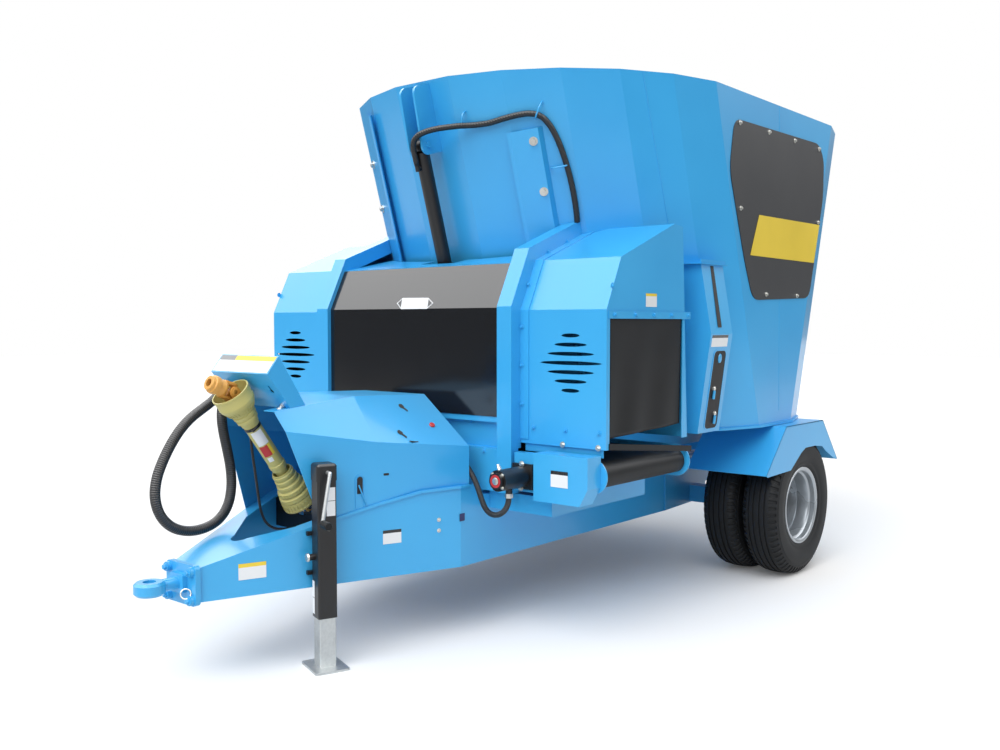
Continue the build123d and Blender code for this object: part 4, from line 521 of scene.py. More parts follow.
# Bolts: zinc-plated hexagon heads on washers, all made by one tree on points that carry the way
# they face. The heads are M12 to M20, by what they hold.
def bolt_tree():
    """Hexagon head, washer and a low crown on each point, turned to the way it faces."""
    tree = bpy.data.node_groups.new("bolt_heads", "GeometryNodeTree")
    tree.interface.new_socket("Geometry", in_out="INPUT", socket_type="NodeSocketGeometry")
    tree.interface.new_socket("Across", in_out="INPUT", socket_type="NodeSocketFloat")
    tree.interface.new_socket("Finish", in_out="INPUT", socket_type="NodeSocketMaterial")
    tree.interface.new_socket("Geometry", in_out="OUTPUT", socket_type="NodeSocketGeometry")
    add, link = tree.nodes.new, tree.links.new
    start, end = add("NodeGroupInput"), add("NodeGroupOutput")
    join = add("GeometryNodeJoinGeometry")
    for sides, radius, height, lift in (
        (24, 0.98, 0.16, 0.08), (6, 0.58, 0.62, 0.47), (20, 0.42, 0.06, 0.80),
    ):
        barrel = add("GeometryNodeMeshCylinder")
        barrel.inputs["Vertices"].default_value = sides
        barrel.inputs["Radius"].default_value = radius
        barrel.inputs["Depth"].default_value = height
        raised = add("GeometryNodeTransform")
        raised.inputs["Translation"].default_value = (0, 0, lift)
        link(barrel.outputs["Mesh"], raised.inputs["Geometry"])
        link(raised.outputs["Geometry"], join.inputs["Geometry"])
    facing = add("GeometryNodeInputNamedAttribute")
    facing.data_type = "FLOAT_VECTOR"
    facing.inputs["Name"].default_value = "facing"
    turned = add("FunctionNodeAlignRotationToVector")
    turned.axis = "Z"
    link(facing.outputs["Attribute"], turned.inputs["Vector"])
    spread = add("GeometryNodeInstanceOnPoints")
    link(start.outputs["Geometry"], spread.inputs["Points"])
    link(join.outputs["Geometry"], spread.inputs["Instance"])
    link(turned.outputs["Rotation"], spread.inputs["Rotation"])
    link(start.outputs["Across"], spread.inputs["Scale"])
    solid = add("GeometryNodeRealizeInstances")
    painted = add("GeometryNodeSetMaterial")
    link(spread.outputs["Instances"], solid.inputs["Geometry"])
    link(solid.outputs["Geometry"], painted.inputs["Geometry"])
    link(start.outputs["Finish"], painted.inputs["Material"])
    link(painted.outputs["Geometry"], end.inputs["Geometry"])
    return tree


bolt_maker = bolt_tree()
bolt_zinc = bare_metal("bolt_zinc", (0.66, 0.66, 0.63), (0.48, 0.48, 0.45), 0.32, 200)


def bolts(name, spots, across, body="wagon", finish=bolt_zinc, slot="zinc_steel"):
    """Bolt heads at (point, way they face), in metres."""
    mesh = bpy.data.meshes.new(name + "_points")
    mesh.from_pydata([point for point, _ in spots], [], [])
    facing = mesh.attributes.new("facing", "FLOAT_VECTOR", "POINT")
    for value, (_, way) in zip(facing.data, spots):
        value.vector = Vector(way).normalized()
    seed = bpy.data.objects.new(name + "_seed", mesh)
    scene.collection.objects.link(seed)
    maker = seed.modifiers.new("bolts", "NODES")
    maker.node_group = bolt_maker
    inputs = [item for item in bolt_maker.interface.items_tree if item.in_out == "INPUT"]
    sockets = {item.name: item.identifier for item in inputs}
    maker[sockets["Across"]] = across
    maker[sockets["Finish"]] = finish
    evaluated = seed.evaluated_get(bpy.context.evaluated_depsgraph_get())
    heads = bpy.data.meshes.new_from_object(evaluated)
    bpy.data.objects.remove(seed)
    heads.name = name
    return show(name, heads, finish, body, slot)


nut_circle, nut_count = 0.095, 8
for side, hand in ((1, "left"), (-1, "right")):
    spots = []
    for k in range(nut_count):
        turn = 2 * pi * (k + 0.5) / nut_count
        nut_at = (side * (disc_at + 0.010), axle + nut_circle * cos(turn), wheel_z + nut_circle * sin(turn))
        spots.append((nut_at, (side, 0, 0)))
    bolts("wheel_nuts_" + hand, spots, 0.0115, "wheel_" + hand)


# Fenders: one folded sheet over each pair of wheels, with an outer skirt cut to an arch over the
# tyre, welded on, and two arms that reach out from each rail
def solids_mesh(name, solids, rounding=0.0):
    """Flat-sided solids, each an outline of points and the vector of its thickness, edges eased."""
    form = bmesh.new()
    for outline, depth in solids:
        near = [form.verts.new(Vector(point)) for point in outline]
        far = [form.verts.new(Vector(point) + Vector(depth)) for point in outline]
        form.faces.new(near)
        form.faces.new(far[::-1])
        for i in range(len(near)):
            j = (i + 1) % len(near)
            form.faces.new((near[j], near[i], far[i], far[j]))
    bmesh.ops.recalc_face_normals(form, faces=form.faces)
    if rounding:
        sharp = [edge for edge in form.edges if edge.calc_face_angle(0) > 0.3]
        bmesh.ops.bevel(
            form, geom=sharp, offset=rounding, segments=2, affect="EDGES", clamp_overlap=True
        )
    bmesh.ops.triangulate(form, faces=[face for face in form.faces if len(face.verts) > 4])
    mesh = bpy.data.meshes.new(name)
    form.to_mesh(mesh)
    form.free()
    mesh.shade_smooth()
    mesh.set_sharp_from_angle(angle=radians(30))
    return mesh


fender_edge, fender_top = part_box("fenders")[1][0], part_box("fenders")[1][2]
fender_inner = 0.745
fender_sheet = 0.005
# Both lines run in Y and Z: the fold line from front foot to rear foot, the skirt's edge back again
fender_line = [(0.5065, 0.632), (0.7545, fender_top), (1.2685, fender_top), (1.4985, 0.627)]
skirt_edge = [
    (1.440, 0.636), (1.318, 0.690), (1.262, 0.724), (1.154, 0.738), (1.024, 0.738), (0.963, 0.715),
    (0.822, 0.628), (0.520, 0.622),
]
skirt_sheet = 0.0015
fender_arms = (0.8165, 1.2165)
arm_half = 0.02
arm_foot, arm_top = 0.610, 0.640
solids = []
for side in (1, -1):
    width = (side * (fender_edge - fender_inner), 0, 0)
    for (y1, z1), (y2, z2) in zip(fender_line, fender_line[1:]):
        lean = Vector((0, z1 - z2, y2 - y1)).normalized() * -fender_sheet
        fold = [(y1, z1), (y2, z2), (y2 + lean.y, z2 + lean.z), (y1 + lean.y, z1 + lean.z)]
        solids.append(([(side * fender_inner, y, z) for y, z in fold], width))
    skirt = fender_line + skirt_edge
    solids.append(([(side * fender_edge, y, z) for y, z in skirt], (side * -skirt_sheet, 0, 0)))
    for y in fender_arms:
        for x, thick, head in ((0.5005, 0.2525, arm_top), (fender_inner, 0.008, fender_top - 0.004)):
            front, rear = y - arm_half, y + arm_half
            arm = [(front, arm_foot), (rear, arm_foot), (rear, head), (front, head)]
            solids.append(([(side * x, arm_y, arm_z) for arm_y, arm_z in arm], (side * thick, 0, 0)))
show("folded_fenders", solids_mesh("fenders", solids, 0.0012), blue, "wagon", "blue_paint", "fenders")

# Bolts of the sheet-metal work: painted heads along the posts, hood and front beam, mirrored to
# the far side, and plated ones where covers come off
painted_bolts = [
    # point, way it faces
    ((0.692, -0.9315, 1.442), (0, -1, 0)), ((0.692, -0.9315, 1.266), (0, -1, 0)),
    ((0.692, -0.9315, 1.086), (0, -1, 0)), ((0.690, -0.8755, 1.636), (0, -0.9, 0.43)),
    ((0.684, -0.7210, 1.7925), (0, -0.36, 0.93)), ((0.683, -0.5670, 1.8525), (0, -0.36, 0.93)),
    ((0.756, -0.9265, 0.981), (0, -1, 0)), ((0.937, -0.9265, 0.980), (0, -1, 0)),
    ((1.118, -0.9265, 0.979), (0, -1, 0)), ((1.1565, -0.885, 1.622), (1, 0, 0)),
    ((0.385, -0.9395, 0.986), (0, -1, 0)), ((0.500, -0.9785, 0.857), (0, -1, 0)),
]
plate_bolts = [
    (0.313, 2.503), (0.661, 2.503), (0.996, 2.503), (1.343, 2.501), (0.333, 2.061), (1.346, 2.064),
    (0.651, 1.617), (1.056, 1.617),
]
guide_bolts = [(0.563, -0.6835, 2.337), (0.570, -0.6085, 2.102)]
for side, hand in ((1, "left"), (-1, "right")):
    spots = [((side * x, y, z), (side * dx, dy, dz)) for (x, y, z), (dx, dy, dz) in painted_bolts]
    bolts("painted_bolts_" + hand, spots, 0.013, finish=blue, slot="blue_paint")
    spots = [((side * 1.1485, y, z), (side, 0, 0)) for y, z in plate_bolts]
    bolts("plate_bolts_" + hand, spots, 0.014)
    spots = [((side * x, y, z), (side * 0.49, -0.84, -0.25)) for x, y, z in guide_bolts]
    bolts("guide_bolts_" + hand, spots, 0.022)
bolts("cover_bolts", [
    ((0.923, -0.9265, 0.914), (0, -1, 0)), ((1.115, -0.9255, 0.913), (0, -1, 0)),
    ((0.751, -1.0045, 0.820), (0, -1, 0)), ((0.746, -1.0045, 0.708), (0, -1, 0)),
], 0.014)
bolts("drawbar_bolts", [
    ((0.4615, -1.248, 0.563), (0.94, -0.34, 0)), ((0.4615, -1.248, 0.514), (0.94, -0.34, 0)),
], 0.0095)

# Clamp strips above the flaps: cut from thin sheet, painted, and bolted through the hood's sides so
# that they hold the belting
hood_face = 1.1565
strip_sheet = 0.004
strip_outline = [(-0.914, 1.478), (-0.206, 1.478), (-0.206, 1.513), (-0.914, 1.513)]
for side, hand in ((1, "left"), (-1, "right")):
    outline = [(side * hood_face, y, z) for y, z in strip_outline]
    strip = solids_mesh("clamp_strip", [(outline, (side * strip_sheet, 0, 0))], 0.001)
    show("clamp_strip_" + hand, strip, blue, "wagon", "blue_paint")
    strip_face = side * (hood_face + strip_sheet)
    spots = [((strip_face, y, 1.497), (side, 0, 0)) for y in (-0.868, -0.703, -0.545, -0.387, -0.232)]
    bolts("strip_bolts_" + hand, spots, 0.013, finish=blue, slot="blue_paint")


# Labels: bare film without words, some with a coloured head, stuck on the drawbar, rail, chain cover
# and hood, and a yellow field on the left side plate
film_off, film_thick = 0.0004, 0.0008


def label(name, corners, bands):
    """Film on a surface: corners from top left clockwise, bands as (from, to, material) shares down."""
    top_left, top_right, low_right, low_left = (Vector(corner) for corner in corners)
    face = (low_left - top_left).cross(top_right - top_left).normalized()
    for k, (start, end, material) in enumerate(bands):
        outline = [
            top_left.lerp(low_left, start), top_right.lerp(low_right, start),
            top_right.lerp(low_right, end), top_left.lerp(low_left, end),
        ]
        film = solids_mesh(name, [([point + face * film_off for point in outline], face * film_thick)])
        show(f"{name}_{k}", film, material, "wagon", "black_panel")


film_white = sprayed_paint("film_white", (0.74, 0.76, 0.78), (0.66, 0.68, 0.70), 0.38, 0.0)
film_yellow = sprayed_paint("film_yellow", (0.78, 0.58, 0.05), (0.70, 0.52, 0.04), 0.36, 0.0)
film_navy = sprayed_paint("film_navy", (0.012, 0.020, 0.110), (0.018, 0.026, 0.130), 0.36, 0.0)
film_red = sprayed_paint("film_red", (0.50, 0.030, 0.030), (0.42, 0.026, 0.026), 0.4, 0.0)


def headed(share, head):
    """Bands of a film with a coloured head over a white field."""
    return [(0, share, head), (share, 1, film_white)]


for name, bands, corners in (
    ("drawbar_label", headed(0.24, film_yellow), [
        (0.147, -2.111, 0.469), (0.187, -2.002, 0.469), (0.187, -2.002, 0.402), (0.147, -2.111, 0.402),
    ]),
    ("rail_label", headed(0.22, black_gloss), [
        (0.367, -1.507, 0.541), (0.397, -1.424, 0.541), (0.397, -1.424, 0.480), (0.367, -1.507, 0.480),
    ]),
    ("chain_cover_label", headed(0.22, black_gloss), [
        (0.948, -1.0465, 0.813), (1.040, -1.0465, 0.813), (1.040, -1.0465, 0.742), (0.948, -1.0465, 0.742),
    ]),
    ("hood_label", headed(0.2, film_yellow), [
        (1.1565, -0.610, 1.594), (1.1565, -0.516, 1.594), (1.1565, -0.516, 1.533), (1.1565, -0.610, 1.533),
    ]),
    ("rail_square", [(0, 1, film_navy)], [
        (0.5005, -1.150, 0.580), (0.5005, -1.116, 0.580), (0.5005, -1.116, 0.545), (0.5005, -1.150, 0.545),
    ]),
    ("side_field", [(0, 1, film_yellow)], [
        (1.1485, 0.551, 2.044), (1.1485, 1.366, 2.050), (1.1485, 1.292, 1.819), (1.1485, 0.450, 1.822),
    ]),
):
    label(name, corners, bands)


# Drive shaft: khaki plastic guards that end in ribbed cones, round a telescopic steel shaft; they
# ride on it by rings at their ends
khaki = sprayed_paint("guard_khaki", (0.50, 0.46, 0.16), (0.43, 0.39, 0.13), 0.42, 0.0)
joint = place(0, 2665, 630)
shaft_lean = radians(35.8)
shaft_up = Vector((0, -sin(shaft_lean), cos(shaft_lean)))
shaft_across = Vector((0, -cos(shaft_lean), -sin(shaft_lean)))
# Profiles as (distance from the joint, radius)
upper_guard = [
    (0.232, 0.0360), (0.245, 0.0360), (0.247, 0.0385), (0.262, 0.0385), (0.264, 0.0360), (0.488, 0.0360),
    (0.494, 0.0400), (0.512, 0.0430), (0.515, 0.0480), (0.527, 0.0485), (0.530, 0.0455), (0.536, 0.0460),
    (0.539, 0.0520), (0.551, 0.0530), (0.554, 0.0500), (0.560, 0.0520), (0.564, 0.0590), (0.577, 0.0640),
    (0.590, 0.0730), (0.600, 0.0790), (0.606, 0.0800), (0.610, 0.0815), (0.618, 0.0815), (0.621, 0.0800),
    (0.655, 0.0815), (0.657, 0.0835), (0.665, 0.0835), (0.665, 0.0780), (0.608, 0.0750), (0.560, 0.0490),
    (0.546, 0.0430), (0.504, 0.0310), (0.232, 0.0310),
]
lower_guard = [
    (0.215, 0.0410), (0.215, 0.0460), (0.206, 0.0470), (0.204, 0.0500), (0.193, 0.0505), (0.190, 0.0470),
    (0.182, 0.0475), (0.179, 0.0530), (0.168, 0.0540), (0.165, 0.0500), (0.156, 0.0510), (0.152, 0.0580),
    (0.140, 0.0600), (0.136, 0.0560), (0.128, 0.0590), (0.124, 0.0680), (0.108, 0.0700), (0.104, 0.0640),
    (0.098, 0.0670), (0.094, 0.0760), (0.078, 0.0790), (0.074, 0.0760), (0.066, 0.0800), (0.040, 0.0820),
    (0.038, 0.0840), (0.030, 0.0840), (0.030, 0.0760), (0.060, 0.0730), (0.092, 0.0580), (0.148, 0.0450),
]
inner_tube = [
    (0.150, 0.028), (0.160, 0.028), (0.160, 0.046), (0.176, 0.046), (0.176, 0.028), (0.500, 0.028),
    (0.500, 0.020), (0.150, 0.020),
]


def on_shaft(distance, x=0.0, across=0.0):
    """Point along the stowed shaft, aside along X, and across it."""
    return joint + shaft_up * distance + shaft_across * across + x_way * x


def about_shaft(name, profile, steps=72):
    """A ring of (distance, radius) points about the shaft."""
    return turned_mesh(name, profile, joint, shaft_up, shaft_across, steps)


def ribs(outer, foot, head, radius_low, radius_high, count):
    """Fins round a cone, each a thin slab that stands out by a few millimetres."""
    root, half_thick = 0.003, 0.0022
    fins = []
    for k in range(count):
        turn = 2 * pi * (k + 0.5) / count
        out = shaft_across * cos(turn) + x_way * sin(turn)
        side = shaft_up.cross(out) * half_thick
        base = [joint + shaft_up * rise + out * radius for rise, radius in (
            (foot, radius_low - root), (foot, radius_low + outer),
            (head, radius_high + outer), (head, radius_high - root),
        )]
        fins.append(([point - side for point in base], side * 2))
    return fins


upper = joined("guard", [
    about_shaft("guard_part", upper_guard),
    about_shaft("guard_ring", [(0.480, 0.0283), (0.494, 0.0283), (0.494, 0.034), (0.480, 0.034)]),
    about_shaft("yoke_ring", [(0.543, 0.0293), (0.551, 0.0293), (0.551, 0.050), (0.543, 0.050)]),
    solids_mesh("guard_fins", ribs(0.0025, 0.566, 0.602, 0.0595, 0.0775, 30), 0.0004),
])
show("ribbed_guard", upper, khaki, "shaft_outer_half", "guard_plastic", "shaft_guard")
lower = joined("lower_guard", [
    about_shaft("lower_part", lower_guard),
    about_shaft("inner_tube", inner_tube),
    solids_mesh("lower_fins", ribs(0.0020, 0.066, 0.036, 0.0795, 0.0825, 30), 0.0004),
    solids_mesh("neck_fins", ribs(0.0025, 0.124, 0.110, 0.0675, 0.0695, 26), 0.0004),
])
show("ribbed_lower_guard", lower, khaki, "shaft_inner_half", "guard_plastic", "shaft_lower_guard")


# Band and films of the outer guard: a worm-drive band round its neck, and bare films on its tube
band = about_shaft("band", [(0.468, 0.0362), (0.468, 0.0376), (0.482, 0.0376), (0.482, 0.0362)])
screw_foot = on_shaft(0.475, x=0.036, across=0.016)
screw = turned_mesh("band_screw", [(-0.016, 0), (-0.016, 0.006), (0.016, 0.006), (0.016, 0)], screw_foot,
                    shaft_across, shaft_up, 16)
show("guard_band", joined("guard_band", [band, screw]), satin_black_and_shade, "shaft_outer_half", "guard_plastic")


def wrapped_film(name, start, end, turn_from, turn_to, material):
    """Film on the guard's tube between two distances and two turns about it."""
    steps, radius, thick = 16, 0.0362, 0.0006
    form = bmesh.new()
    rings = []
    for k in range(steps + 1):
        turn = radians(turn_from + (turn_to - turn_from) * k / steps)
        out = shaft_across * cos(turn) + x_way * sin(turn)
        rings.append([form.verts.new(joint + shaft_up * d + out * r) for d, r in (
            (start, radius), (end, radius), (end, radius + thick), (start, radius + thick)
        )])
    for near, far in zip(rings, rings[1:]):
        for i in range(4):
            j = (i + 1) % 4
            form.faces.new((near[i], near[j], far[j], far[i]))
    form.faces.new(rings[0])
    form.faces.new(rings[-1][::-1])
    bmesh.ops.recalc_face_normals(form, faces=form.faces)
    mesh = bpy.data.meshes.new(name)
    form.to_mesh(mesh)
    form.free()
    show(name, mesh, material, "shaft_outer_half", "guard_plastic")


wrapped_film("guard_film_white", 0.385, 0.460, 20, 100, film_white)
wrapped_film("guard_film_red", 0.325, 0.380, 15, 75, film_red)
wrapped_film("guard_film_ochre", 0.325, 0.380, 76, 96, film_yellow)
wrapped_film("guard_film_small", 0.295, 0.318, 25, 60, film_white)


# Yokes: ochre-painted castings with rounded ears on a cross of pins, the tractor's hub with
# the collar that slides to release it
orange = sprayed_paint("yoke_ochre", (0.66, 0.34, 0.07), (0.54, 0.26, 0.05), 0.42, 0.0)


def ear(centre, along, across, half_width, reach, tail, thick):
    """A rounded ear about a cross pin: outline in along and across, thick along the pin."""
    pin = along.cross(across)
    outline = [centre + along * (half_width * cos(t)) + across * (half_width * sin(t))
               for t in (radians(a) for a in range(-90, 91, 15))]
    outline += [centre - along * reach + across * tail, centre - along * reach - across * tail]
    return [point - pin * (thick / 2) for point in outline], pin * thick


cross_at = on_shaft(0.665)
hub_lean = Vector((0, -0.92, 0.39)).normalized()
hub_across = Vector((0, -0.39, -0.92)).normalized()
yoke_parts = [
    turned_mesh("yoke_neck", [(0.505, 0), (0.505, 0.0288), (0.596, 0.0288), (0.604, 0.031), (0.617, 0.038),
                              (0.625, 0.038), (0.625, 0)], joint, shaft_up, shaft_across, 40),
    turned_mesh("pin_across", [(-0.036, 0), (-0.036, 0.0118), (0.036, 0.0118), (0.036, 0)], cross_at,
                shaft_across, x_way, 24),
    turned_mesh("pin_aside", [(-0.041, 0), (-0.041, 0.0118), (0.041, 0.0118), (0.041, 0)], cross_at, x_way,
                shaft_across, 24),
    turned_mesh("tractor_hub", [
        (0.036, 0.0175), (0.036, 0.034), (0.046, 0.0375), (0.058, 0.0345), (0.070, 0.0335), (0.073, 0.0385),
        (0.084, 0.0400), (0.095, 0.0385), (0.098, 0.0335), (0.110, 0.0315), (0.112, 0.0290), (0.112, 0.0175),
    ], cross_at, hub_lean, hub_across, 48),
]
ears = []
for side in (1, -1):
    ears.append(ear(cross_at + x_way * (side * 0.036), shaft_up, shaft_across, 0.023, 0.045, 0.021, 0.013))
    ears.append(ear(cross_at + hub_across * (side * 0.031), -hub_lean, x_way, 0.022, 0.044, 0.020, 0.013))
    for pin_way, beside, reach in ((x_way, shaft_up, 0.041), (hub_across, x_way, 0.0365)):
        boss = [(side * (reach + rise), radius) for rise, radius in (
            (-0.001, 0), (-0.001, 0.0165), (0.0035, 0.0150), (0.0035, 0.0100), (0.0015, 0.0095), (0.0015, 0),
        )]
        yoke_parts.append(turned_mesh("pin_boss", boss, cross_at, pin_way, beside, 28))
yoke_parts.append(solids_mesh("yoke_ears", ears, 0.0025))
show("cast_yokes", joined("cast_yokes", yoke_parts), orange, "shaft_outer_half", "yoke_paint", "shaft_yoke")
coat(orange, "shaft_lower_yoke")


# Conveyor: a red sealing ring, a plated cap and four bolts on the motor's end, its plated fittings, a
# plate that closes the hood's front foot, and a rubber strip along the foot of each hood side
motor_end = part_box("conveyor_motor")[0][1]
motor_middle = Vector((0.752, motor_end, 0.762))
red_ring = turned_mesh("red_ring", [(-0.0004, 0.018), (-0.0004, 0.029), (0.0030, 0.029), (0.0030, 0.018)],
                       motor_middle, y_way, z_way, 40)
show("motor_ring", red_ring, film_red, "wagon", "black_panel")
steel_cap = turned_mesh("motor_cap", [(-0.0030, 0), (-0.0030, 0.0130), (-0.0015, 0.0165), (0.0030, 0.0170),
                                      (0.0030, 0)], motor_middle, y_way, z_way, 32)
show("motor_end_cap", steel_cap, bolt_zinc, "wagon", "zinc_steel")
motor_bolt_circle = 0.040
spots = []
for k in range(4):
    turn = pi / 4 + k * pi / 2
    bolt_at = Vector((motor_bolt_circle * cos(turn), 0.0148, motor_bolt_circle * sin(turn)))
    spots.append((motor_middle + bolt_at, (0, -1, 0)))
bolts("motor_bolts", spots, 0.0085)
fitting = joined("motor_fittings", [
    turned_mesh("fitting", [(0, 0), (0, 0.010), (0.022, 0.010), (0.022, 0.0075), (0.034, 0.0075), (0.034, 0)],
                Vector((0.740, motor_end + 0.050, 0.799)), Vector((-0.45, 0, 0.89)), y_way, 6),
    turned_mesh("gland_nut", [(0, 0.0132), (0, 0.0185), (0.020, 0.0185), (0.020, 0.0132)],
                place(752, 2114.3, 676), z_way, y_way, 6),
])
show("motor_fittings", fitting, bolt_zinc, "wagon", "zinc_steel")
closer_outline = [
    (0.700, -0.914, 0.868), (1.135, -0.914, 0.868), (1.135, -0.914, 0.950), (0.700, -0.914, 0.950),
]
closer = solids_mesh("hood_closer", [(closer_outline, (0, 0.003, 0))], 0.0008)
show("hood_closer", closer, blue, "wagon", "blue_paint")
seal_outline = [(-0.905, 0.9330), (-0.905, 0.9050), (-0.185, 0.8310), (-0.185, 0.8590)]
for side, hand in ((1, "left"), (-1, "right")):
    outline = [(side * 1.1550, y, z) for y, z in seal_outline]
    seal = solids_mesh("seal_strip", [(outline, (side * 0.006, 0, 0))], 0.001)
    show("seal_strip_" + hand, seal, belting, "wagon", "belt_rubber")

# Headstock: painted bolt heads in its four corners, and a plated wire ring hung on the front face
# beside the lower one of the left side
headstock_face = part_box("headstock")[0][1]
corners = [(x, z) for x in (-0.080, 0.080) for z in (0.344, 0.460)]
spots = [((x, headstock_face - 0.0005, z), (0, -1, 0)) for x, z in corners]
bolts("headstock_bolts", spots, 0.0185, finish=blue, slot="blue_paint")
ring_radius, wire_radius = 0.0200, 0.0030
wire = [
    (wire_radius * cos(radians(turn)), ring_radius + wire_radius * sin(radians(turn)))
    for turn in range(0, 360, 30)
]
ring_middle = Vector((0.066, headstock_face - 0.004, 0.372))
ring_axis, ring_aside = Vector((0.80, -0.52, 0.3)).normalized(), Vector((0.3, 0, -0.8)).normalized()
wire_ring = turned_mesh("wire_ring", wire, ring_middle, ring_axis, ring_aside, 48, 60)
show("wire_ring", wire_ring, bolt_zinc, "wagon", "zinc_steel")

# Bearing of the driveline: four black bolt heads in its flange, which hold it on the upright plate
# between the drawbar's sides
bearing_face = axle - 2.560 - 0.0185
spots = [((x, bearing_face, 0.630 + z), (0, -1, 0)) for x in (-0.047, 0.047) for z in (-0.047, 0.047)]
bolts("bearing_bolts", spots, 0.0135, finish=satin_black_and_shade, slot="black_metal")

# Jack: a ribbed rubber grip pushed on its crank, two bare films stuck on its tube, and the plated
# head of its cross pin
splay = radians(20)
plate_out = Vector((cos(splay), -sin(splay), 0))
plate_dir = Vector((sin(splay), cos(splay), 0))
jack_centre = Vector((0.32452, -1.80481, 0))


def jack_point(out, along, z):
    """Point beside the jack: out from the drawbar, back along its side, and height."""
    return jack_centre + plate_out * out + plate_dir * along + z_way * z


grip_profile = [(0.0, 0), (0.0, 0.0150), (0.004, 0.0168)]
grip_profile += [(0.008 + 0.0045 * k, 0.0162 + 0.0008 * (k % 2)) for k in range(12)]
grip_profile += [(0.066, 0.0168), (0.070, 0.0150), (0.0715, 0)]
grip = turned_mesh("crank_grip", grip_profile, jack_point(0.0955, -0.040, 0.6325), plate_out, z_way, 28, 50)
show("crank_grip", grip, belting, "wagon", "black_metal")
for name, spots, bands in (
    ("jack_label", [(0.0422, -0.004, 0.772), (0.0422, 0.034, 0.772), (0.0422, 0.034, 0.652),
                    (0.0422, -0.004, 0.652)], [(0, 0.46, film_white), (0.48, 1, film_white)]),
    ("jack_low_label", [(-0.030, -0.0422, 0.372), (-0.006, -0.0422, 0.372), (-0.006, -0.0422, 0.232),
                        (-0.030, -0.0422, 0.232)], [(0, 0.5, film_white), (0.52, 1, film_white)]),
):
    label(name, [jack_point(*spot) for spot in spots], bands)
pin_foot = jack_point(-0.010, -0.0705, 0.475)
pin_head = turned_mesh("pin_head", [(-0.006, 0), (-0.006, 0.017), (0.000, 0.019), (0.003, 0.019), (0.003, 0)],
                       pin_foot, plate_dir, z_way, 28)
show("jack_pin_head", pin_head, bolt_zinc, "wagon", "zinc_steel")

# Console: pale films on its slope, a black sheet of painted shade behind the keyholes of its face, and a
# plated coupling in the face's foot
slope_head, slope_foot = Vector((0, -1.9215, 1.321)), Vector((0, -1.9815, 1.247))
plate_head, plate_foot = slope_head.lerp(slope_foot, 0.05), slope_head.lerp(slope_foot, 0.95)


def console_film(name, start, end, bands):
    """Film on the slope from one X to another."""
    label(name, [plate_head + x_way * start, plate_head + x_way * end, plate_foot + x_way * end,
                 plate_foot + x_way * start], bands)


film_grey = sprayed_paint("film_grey", (0.17, 0.18, 0.19), (0.21, 0.22, 0.23), 0.4, 0.0)
console_film("console_left", -0.211, -0.100, [(0, 0.3, film_grey), (0.3, 1, film_white)])
console_film("console_middle", -0.099, 0.175, [(0, 0.3, film_yellow), (0.3, 1, film_white)])
face_foot, face_head = Vector((0, -1.8635, 1.0985)), Vector((0, -1.9815, 1.247))
face_up = (face_head - face_foot).normalized()
face_in = Vector((0, 0.783, 0.622))
shade_left, shade_right = -0.210, 0.174
shade_foot = face_foot + face_up * 0.030 + face_in * 0.010
shade_head = face_foot + face_up * 0.165 + face_in * 0.010
shade_outline = [shade_foot + x_way * shade_left, shade_foot + x_way * shade_right, shade_head + x_way * shade_right,
                shade_head + x_way * shade_left]
# Black sheet inside the face, behind the keyholes: painted shade, so that they read as dark holes
shade_sheet = solids_mesh("console_shade_sheet", [(shade_outline, face_in * 0.003)])
show("console_shade_sheet", shade_sheet, satin_black_and_shade, "wagon", "black_metal")
coupling = turned_mesh("coupling", [
    (0, 0), (0, 0.0125), (0.008, 0.0125), (0.009, 0.0090), (0.024, 0.0090), (0.025, 0.0110), (0.033, 0.0110),
    (0.034, 0.0070), (0.044, 0.0070), (0.044, 0),
], face_foot + face_up * 0.012 + x_way * 0.140, -face_in, x_way, 24)
show("console_coupling", coupling, bolt_zinc, "wagon", "zinc_steel")

# Driveline cover: two hooked keyholes and a thin slot in its fold, a red cap, a small slot in its
# side, and an arched cut-out with a raised rim and a stay rod in front
cover_slope = Vector((0.69, -0.03, 0.72)).normalized()
cover_side = Vector((0.947, -0.322, 0)).normalized()


def cut_mark(centre, up, outward, outline, thick=0.0008):
    """A thin plate on a surface, for the painted shade of a cut and for the rim round one: outline points
    across and up, in mm, about a centre.
    """
    up = (up - outward * up.dot(outward)).normalized()
    right = up.cross(outward)
    points = [centre + right * (x / 1000) + up * (z / 1000) + outward * 0.0004 for x, z in outline]
    return points, outward * thick


hook = [(-9, 24), (2, 26), (11, 20), (13, 9), (9, -1), (12, -9), (15, -19), (13, -26), (6, -25), (2, -14),
        (-3, -3), (-12, 4), (-15, 14)]
down_slope = Vector((0.043, 0.009, -0.040))
# The keyholes, the slots and the arch's cut-out are thin dull black plates: painted shade for the hollow seen
# through each cut
shaded_cuts = [
    cut_mark(Vector((0.2715, -1.2865, 1.0665)), -down_slope, cover_slope, hook),
    cut_mark(Vector((0.3675, -1.3885, 0.9600)), -down_slope, cover_slope, hook),
    cut_mark(Vector((0.4090, -1.3420, 0.9260)), z_way, cover_slope,
             [(-31, 2), (31, -1), (31, -6), (-24, -4), (-31, 8), (-35, 8)]),
    cut_mark(Vector((0.3710, -1.4890, 0.7910)), z_way, cover_side,
             [(-13, 4), (-9, 5), (9, 5), (13, 4), (13, -4), (9, -5), (-9, -5), (-13, -4)]),
]
arch_middle = Vector((0.3300, -1.6075, 0.7450))


def arch_line(radius, foot, step):
    """An arch from its right foot over the top to its left foot, in mm about the arch's middle."""
    crown = [(radius * cos(radians(turn)), 32 + radius * sin(radians(turn))) for turn in range(0, 181, step)]
    return [(radius, foot)] + crown + [(-radius, foot)]


